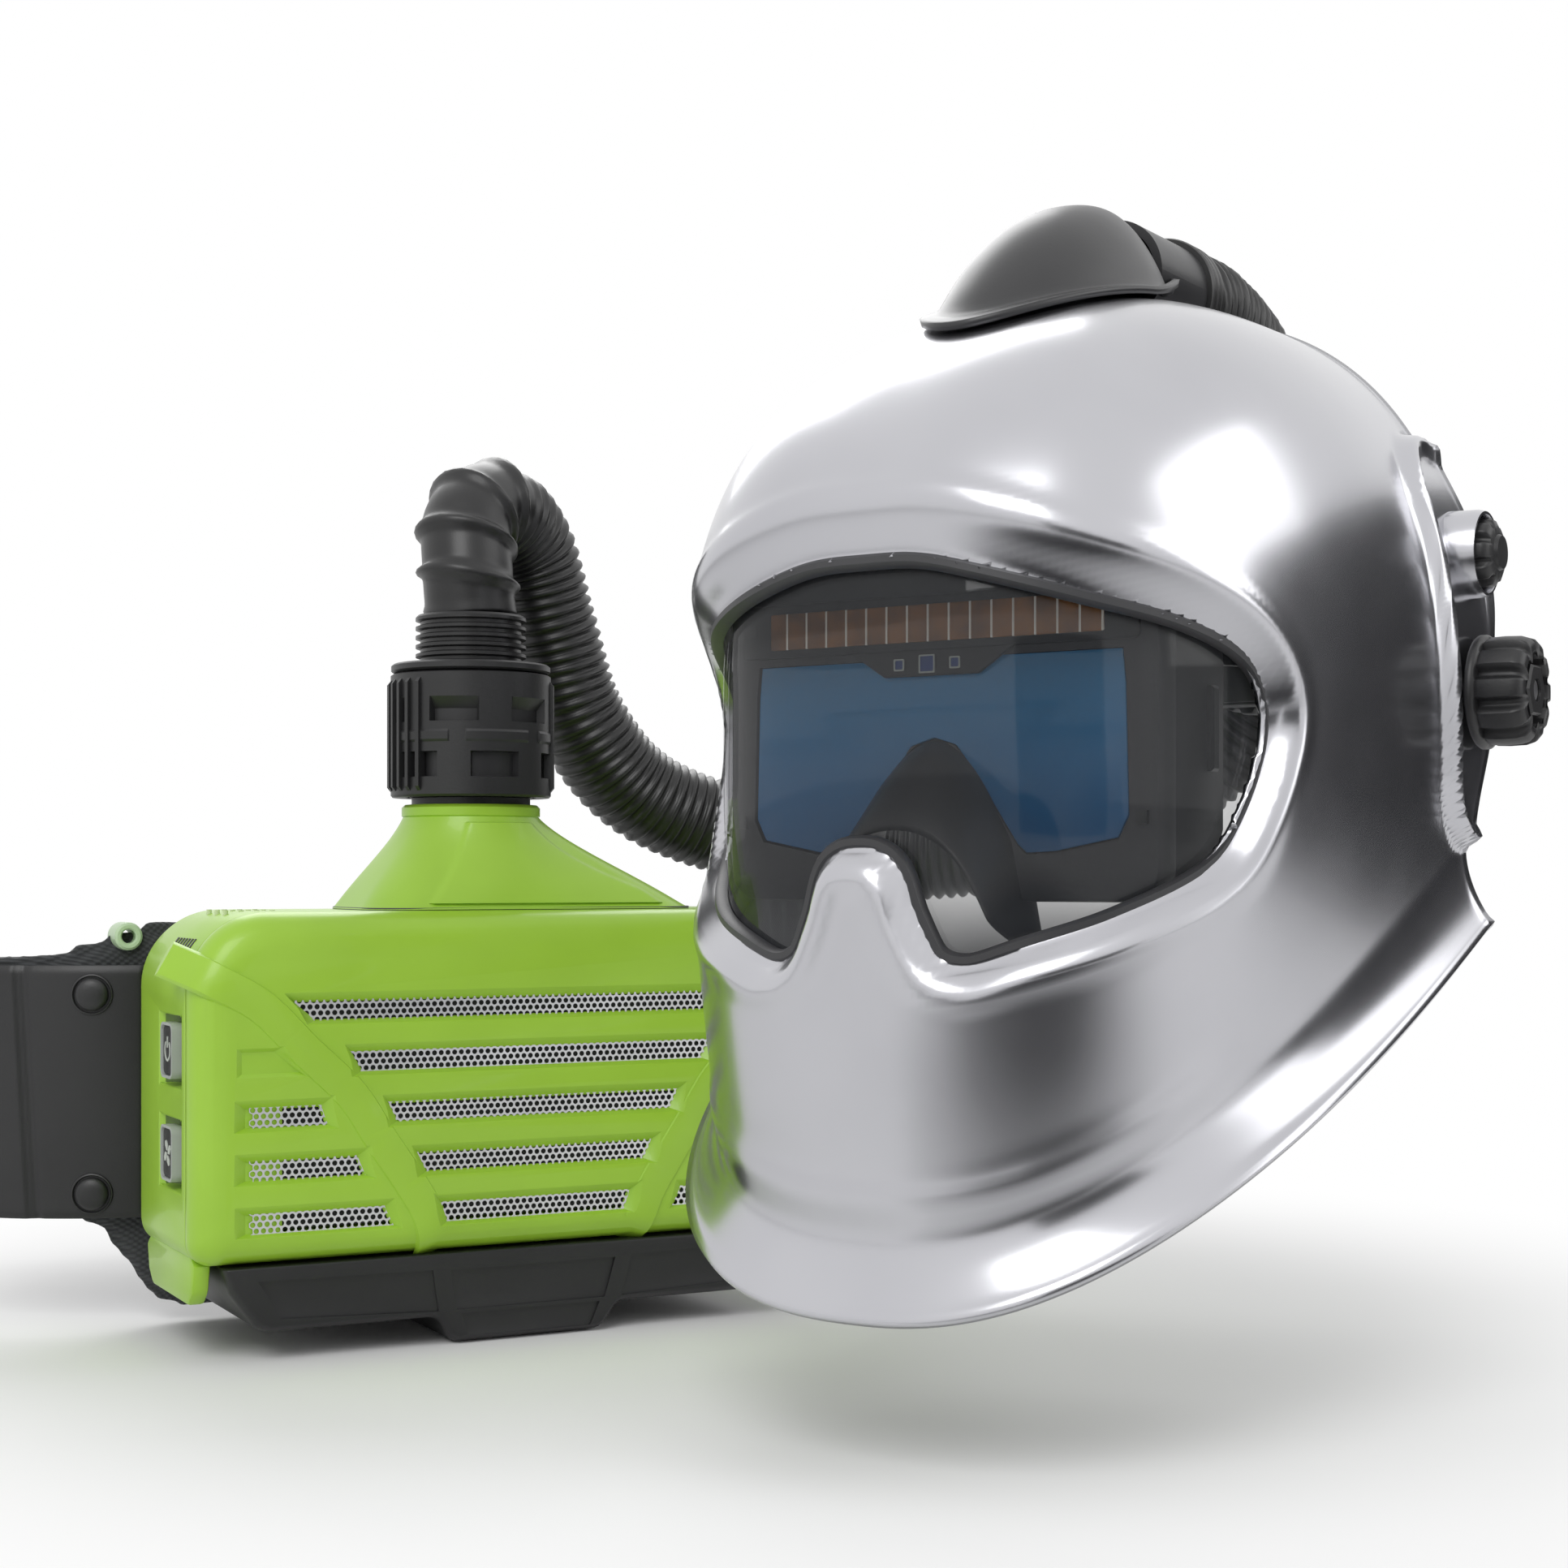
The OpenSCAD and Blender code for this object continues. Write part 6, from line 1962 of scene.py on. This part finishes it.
        slab("buckle_prongs", tongue, -0.0025, 0.0025, upright_place, "black_plastic", "casing", 0.0006,
             replaces=("buckle_tongue",))
        slab("buckle_grip", rounded_plate(0.014, -0.024, 0.024, 0.003, 5), -0.0058, 0.0058,
             lambda p: upright_place((p[0] - 0.024, p[1], p[2])), "black_plastic", "casing", 0.0012)


class RESPIRATOR_OT_air_inlet(bpy.types.Operator):
    """Builds the ribbed cuff that joins the hose to the helmet"""

    bl_idname = "respirator.air_inlet"
    bl_label = "Air inlet"

    def execute(self, context):
        def place(p):
            return on_helmet((p[0], p[2], CROWN_H + 0.012 + p[1]))
        profile = [(0.0183, 0.0052), (0.0218, 0.0052)]
        for k in range(3):
            low = 0.0058 + k * 0.0037
            profile += [(0.0223, low + 0.0004), (0.0223, low + 0.002), (0.0208, low + 0.0026),
                        (0.0208, low + 0.0034)]
        profile += [(0.02, 0.0168), (0.0183, 0.0168)]
        lathe("inlet_cuff", profile, place, "hose_rubber", "casing", 72, replaces=("upper_cuff",))
        return {"FINISHED"}


# Stage


class RESPIRATOR_OT_stage(bpy.types.Operator):
    """Makes the floor, the light and the camera"""

    bl_idname = "respirator.stage"
    bl_label = "Stage"

    def execute(self, context):
        scene = context.scene
        scene.view_settings.view_transform = "Standard"
        self.floor()
        self.world(scene)
        self.cards()
        self.lamps()
        self.camera(scene)
        return {"FINISHED"}

    def cards(self):
        """Dark studio cards outside the view, which the silver shell reflects."""
        for name, at, aim, size, soft in (
                ("card_right", (1.75, -0.45, 0.42), (0.2, -0.25, 0.35), (1.9, 0.95), (0.9, 1.1)),
                ("card_front", (-0.35, -2.05, 0.3), (0.2, -0.25, 0.3), (1.5, 0.55), (0.7, 0.9)),
                ("card_low", (-0.34, -0.98, 0.004), (-0.34, -0.98, 2.0), (1.7, 1.3), (0.3, 0.8))):
            finish = Finish(name + "_cloth", Roughness=1.0, Specular_IOR_Level=0.0)
            finish.set(Base_Color=finish.mix(finish.noise(2.0), (0.018, 0.018, 0.02),
                                             (0.026, 0.026, 0.028)))
            finish.set(Alpha=1.0 - finish.band(finish.distance(at), *soft))
            bpy.ops.mesh.primitive_plane_add(size=1.0)
            card = bpy.context.object
            card.name = name
            turn = (Vector(aim) - Vector(at)).to_track_quat("Z", "Y").to_matrix().to_4x4()
            card.data.transform(Matrix.Translation(at) @ turn @ Matrix.Diagonal((size[0], size[1], 1, 1)))
            card.data.materials.append(finish.material)
            card.visible_camera = card.visible_diffuse = card.visible_shadow = False

    def floor(self):
        """A pale floor that fades to white for the view and keeps the shadow."""
        finish = Finish("stage_floor", Roughness=1.0, Specular_IOR_Level=0.0)
        pale = finish.mix(finish.noise(3.0), (0.93, 0.93, 0.93), (0.96, 0.96, 0.96))
        finish.set(Base_Color=pale)
        away = finish.distance((0.1, -0.05, 0.0))
        fade = finish.band(away, 0.22, 0.52) * finish.node("ShaderNodeLightPath")
        blend = finish.node("ShaderNodeMixShader", values={
            0: fade, 1: Value(finish, finish.shader.outputs[0]), 2: finish.node("ShaderNodeEmission")})
        finish.feed(finish.nodes["Material Output"].inputs["Surface"], blend)
        bpy.ops.mesh.primitive_plane_add(size=14.0, location=(0, 0, -0.0004))
        floor = bpy.context.object
        floor.name = "studio_floor"
        floor.data.materials.append(finish.material)

    def world(self, scene):
        """Even white surroundings."""
        world = bpy.data.worlds.new("studio")
        scene.world = world
        world.use_nodes = True
        tree = Tree(world.node_tree)
        rays = tree.nodes.new("ShaderNodeLightPath").outputs
        camera, through, glossy = (Value(tree, rays["Is %s Ray" % kind])
                                   for kind in ("Camera", "Transmission", "Glossy"))
        seen = (camera + through).at_least(glossy)
        back = tree.nodes["Background"].inputs
        tree.feed(back["Strength"], tree.node("ShaderNodeMapRange", values={0: seen, 3: 0.55, 4: 1.0}))
        tree.feed(back["Color"], (1.0, 1.0, 1.0))

    def lamps(self):
        """Three large soft lamps."""
        for name, at, size, power in (
                ("key", (-1.4, -1.6, 1.9), 1.4, 26.0),
                ("fill", (1.8, -1.5, 1.2), 1.6, 12.0),
                ("rim", (0.6, 1.8, 1.9), 1.5, 20.0)):
            lamp = bpy.data.lights.new(name, "AREA")
            lamp.size = size
            lamp.energy = power
            obj = placed(name, lamp)
            obj.location = at
            aim = Vector((0.05, -0.1, 0.15)) - Vector(at)
            obj.rotation_euler = aim.to_track_quat("-Z", "Y").to_euler()

    def camera(self, scene):
        """The view, from the values in the panel."""
        props = scene.respirator_camera
        lens = bpy.data.cameras.new("view")
        lens.sensor_width = 36.0
        lens.lens = props.focal_length
        lens.shift_x = props.shift_x
        lens.shift_y = props.shift_y
        lens.clip_start = 0.01
        camera = placed("view", lens)
        camera.location = (*props.place, props.eye_height)
        camera.rotation_euler = (math.pi / 2, 0, -props.turn)
        scene.camera = camera


# Settings


class RespiratorCamera(bpy.types.PropertyGroup):
    """Where the camera stands and what it takes in"""

    place: bpy.props.FloatVectorProperty(
        name="Place", description="Where the camera stands on the floor",
        default=(-0.3547, -0.915), size=2, subtype="XYZ_LENGTH", unit="LENGTH")
    turn: bpy.props.FloatProperty(
        name="Turn", description="How far the view is turned to the right of straight ahead",
        default=math.radians(27.85), subtype="ANGLE", unit="ROTATION")
    eye_height: bpy.props.FloatProperty(
        name="Eye height", description="Height of the camera above the floor",
        default=0.181, min=0.02, max=1.0, unit="LENGTH")
    focal_length: bpy.props.FloatProperty(
        name="Focal length", description="Lens on a 36 mm sensor, in millimetres",
        default=55.2, min=20.0, max=200.0)
    shift_x: bpy.props.FloatProperty(
        name="Sideways shift", description="Share of the image that the view is moved right",
        default=0.006, min=-0.5, max=0.5, subtype="FACTOR")
    shift_y: bpy.props.FloatProperty(
        name="Vertical shift", description="Share of the image that the view is moved up",
        default=0.0575, min=-0.5, max=0.5, subtype="FACTOR")


class RESPIRATOR_PT_panel(bpy.types.Panel):
    """Lists the builders of the respirator's parts"""

    bl_label = "Respirator"
    bl_idname = "RESPIRATOR_PT_panel"
    bl_space_type = "VIEW_3D"
    bl_region_type = "UI"
    bl_category = "Respirator"

    def draw(self, context):
        for operator in OPERATORS:
            self.layout.operator(operator.bl_idname)
        for name in ("place", "turn", "eye_height", "focal_length", "shift_x", "shift_y"):
            self.layout.prop(context.scene.respirator_camera, name)


OPERATORS = (
    RESPIRATOR_OT_stage,
    RESPIRATOR_OT_hose,
    RESPIRATOR_OT_helmet_shell,
    RESPIRATOR_OT_lens,
    RESPIRATOR_OT_air_dome,
    RESPIRATOR_OT_knobs,
    RESPIRATOR_OT_front_cover,
    RESPIRATOR_OT_spark_screen,
    RESPIRATOR_OT_rear_housing,
    RESPIRATOR_OT_neck,
    RESPIRATOR_OT_coupling,
    RESPIRATOR_OT_battery,
    RESPIRATOR_OT_keys,
    RESPIRATOR_OT_dark_filter,
    RESPIRATOR_OT_gasket,
    RESPIRATOR_OT_headgear,
    RESPIRATOR_OT_face_seal,
    RESPIRATOR_OT_belt,
    RESPIRATOR_OT_air_inlet,
)
CLASSES = (RespiratorCamera,) + OPERATORS + (RESPIRATOR_PT_panel,)


def register():
    for cls in CLASSES:
        bpy.utils.register_class(cls)
    bpy.types.Scene.respirator_camera = bpy.props.PointerProperty(type=RespiratorCamera)


def unregister():
    del bpy.types.Scene.respirator_camera
    for cls in reversed(CLASSES):
        bpy.utils.unregister_class(cls)


def dress_nodes():
    """Gives every CAD node that stays its finish."""
    slots = {part["node"]: part["material_slot"] for part in frame["record"]["subparts"]}
    for node, obj in frame["nodes"].items():
        if not obj.data.materials:
            obj.data.materials.append(None)
        for place in range(len(obj.data.materials)):
            obj.data.materials[place] = FINISHES[slots[node]]


def main():
    """Registers the tools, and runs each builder."""
    register()
    FINISHES.update(make_finishes())
    dress_nodes()
    for operator in OPERATORS:
        group, name = operator.bl_idname.split(".")
        getattr(getattr(bpy.ops, group), name)()


if __name__ == "__main__":
    main()
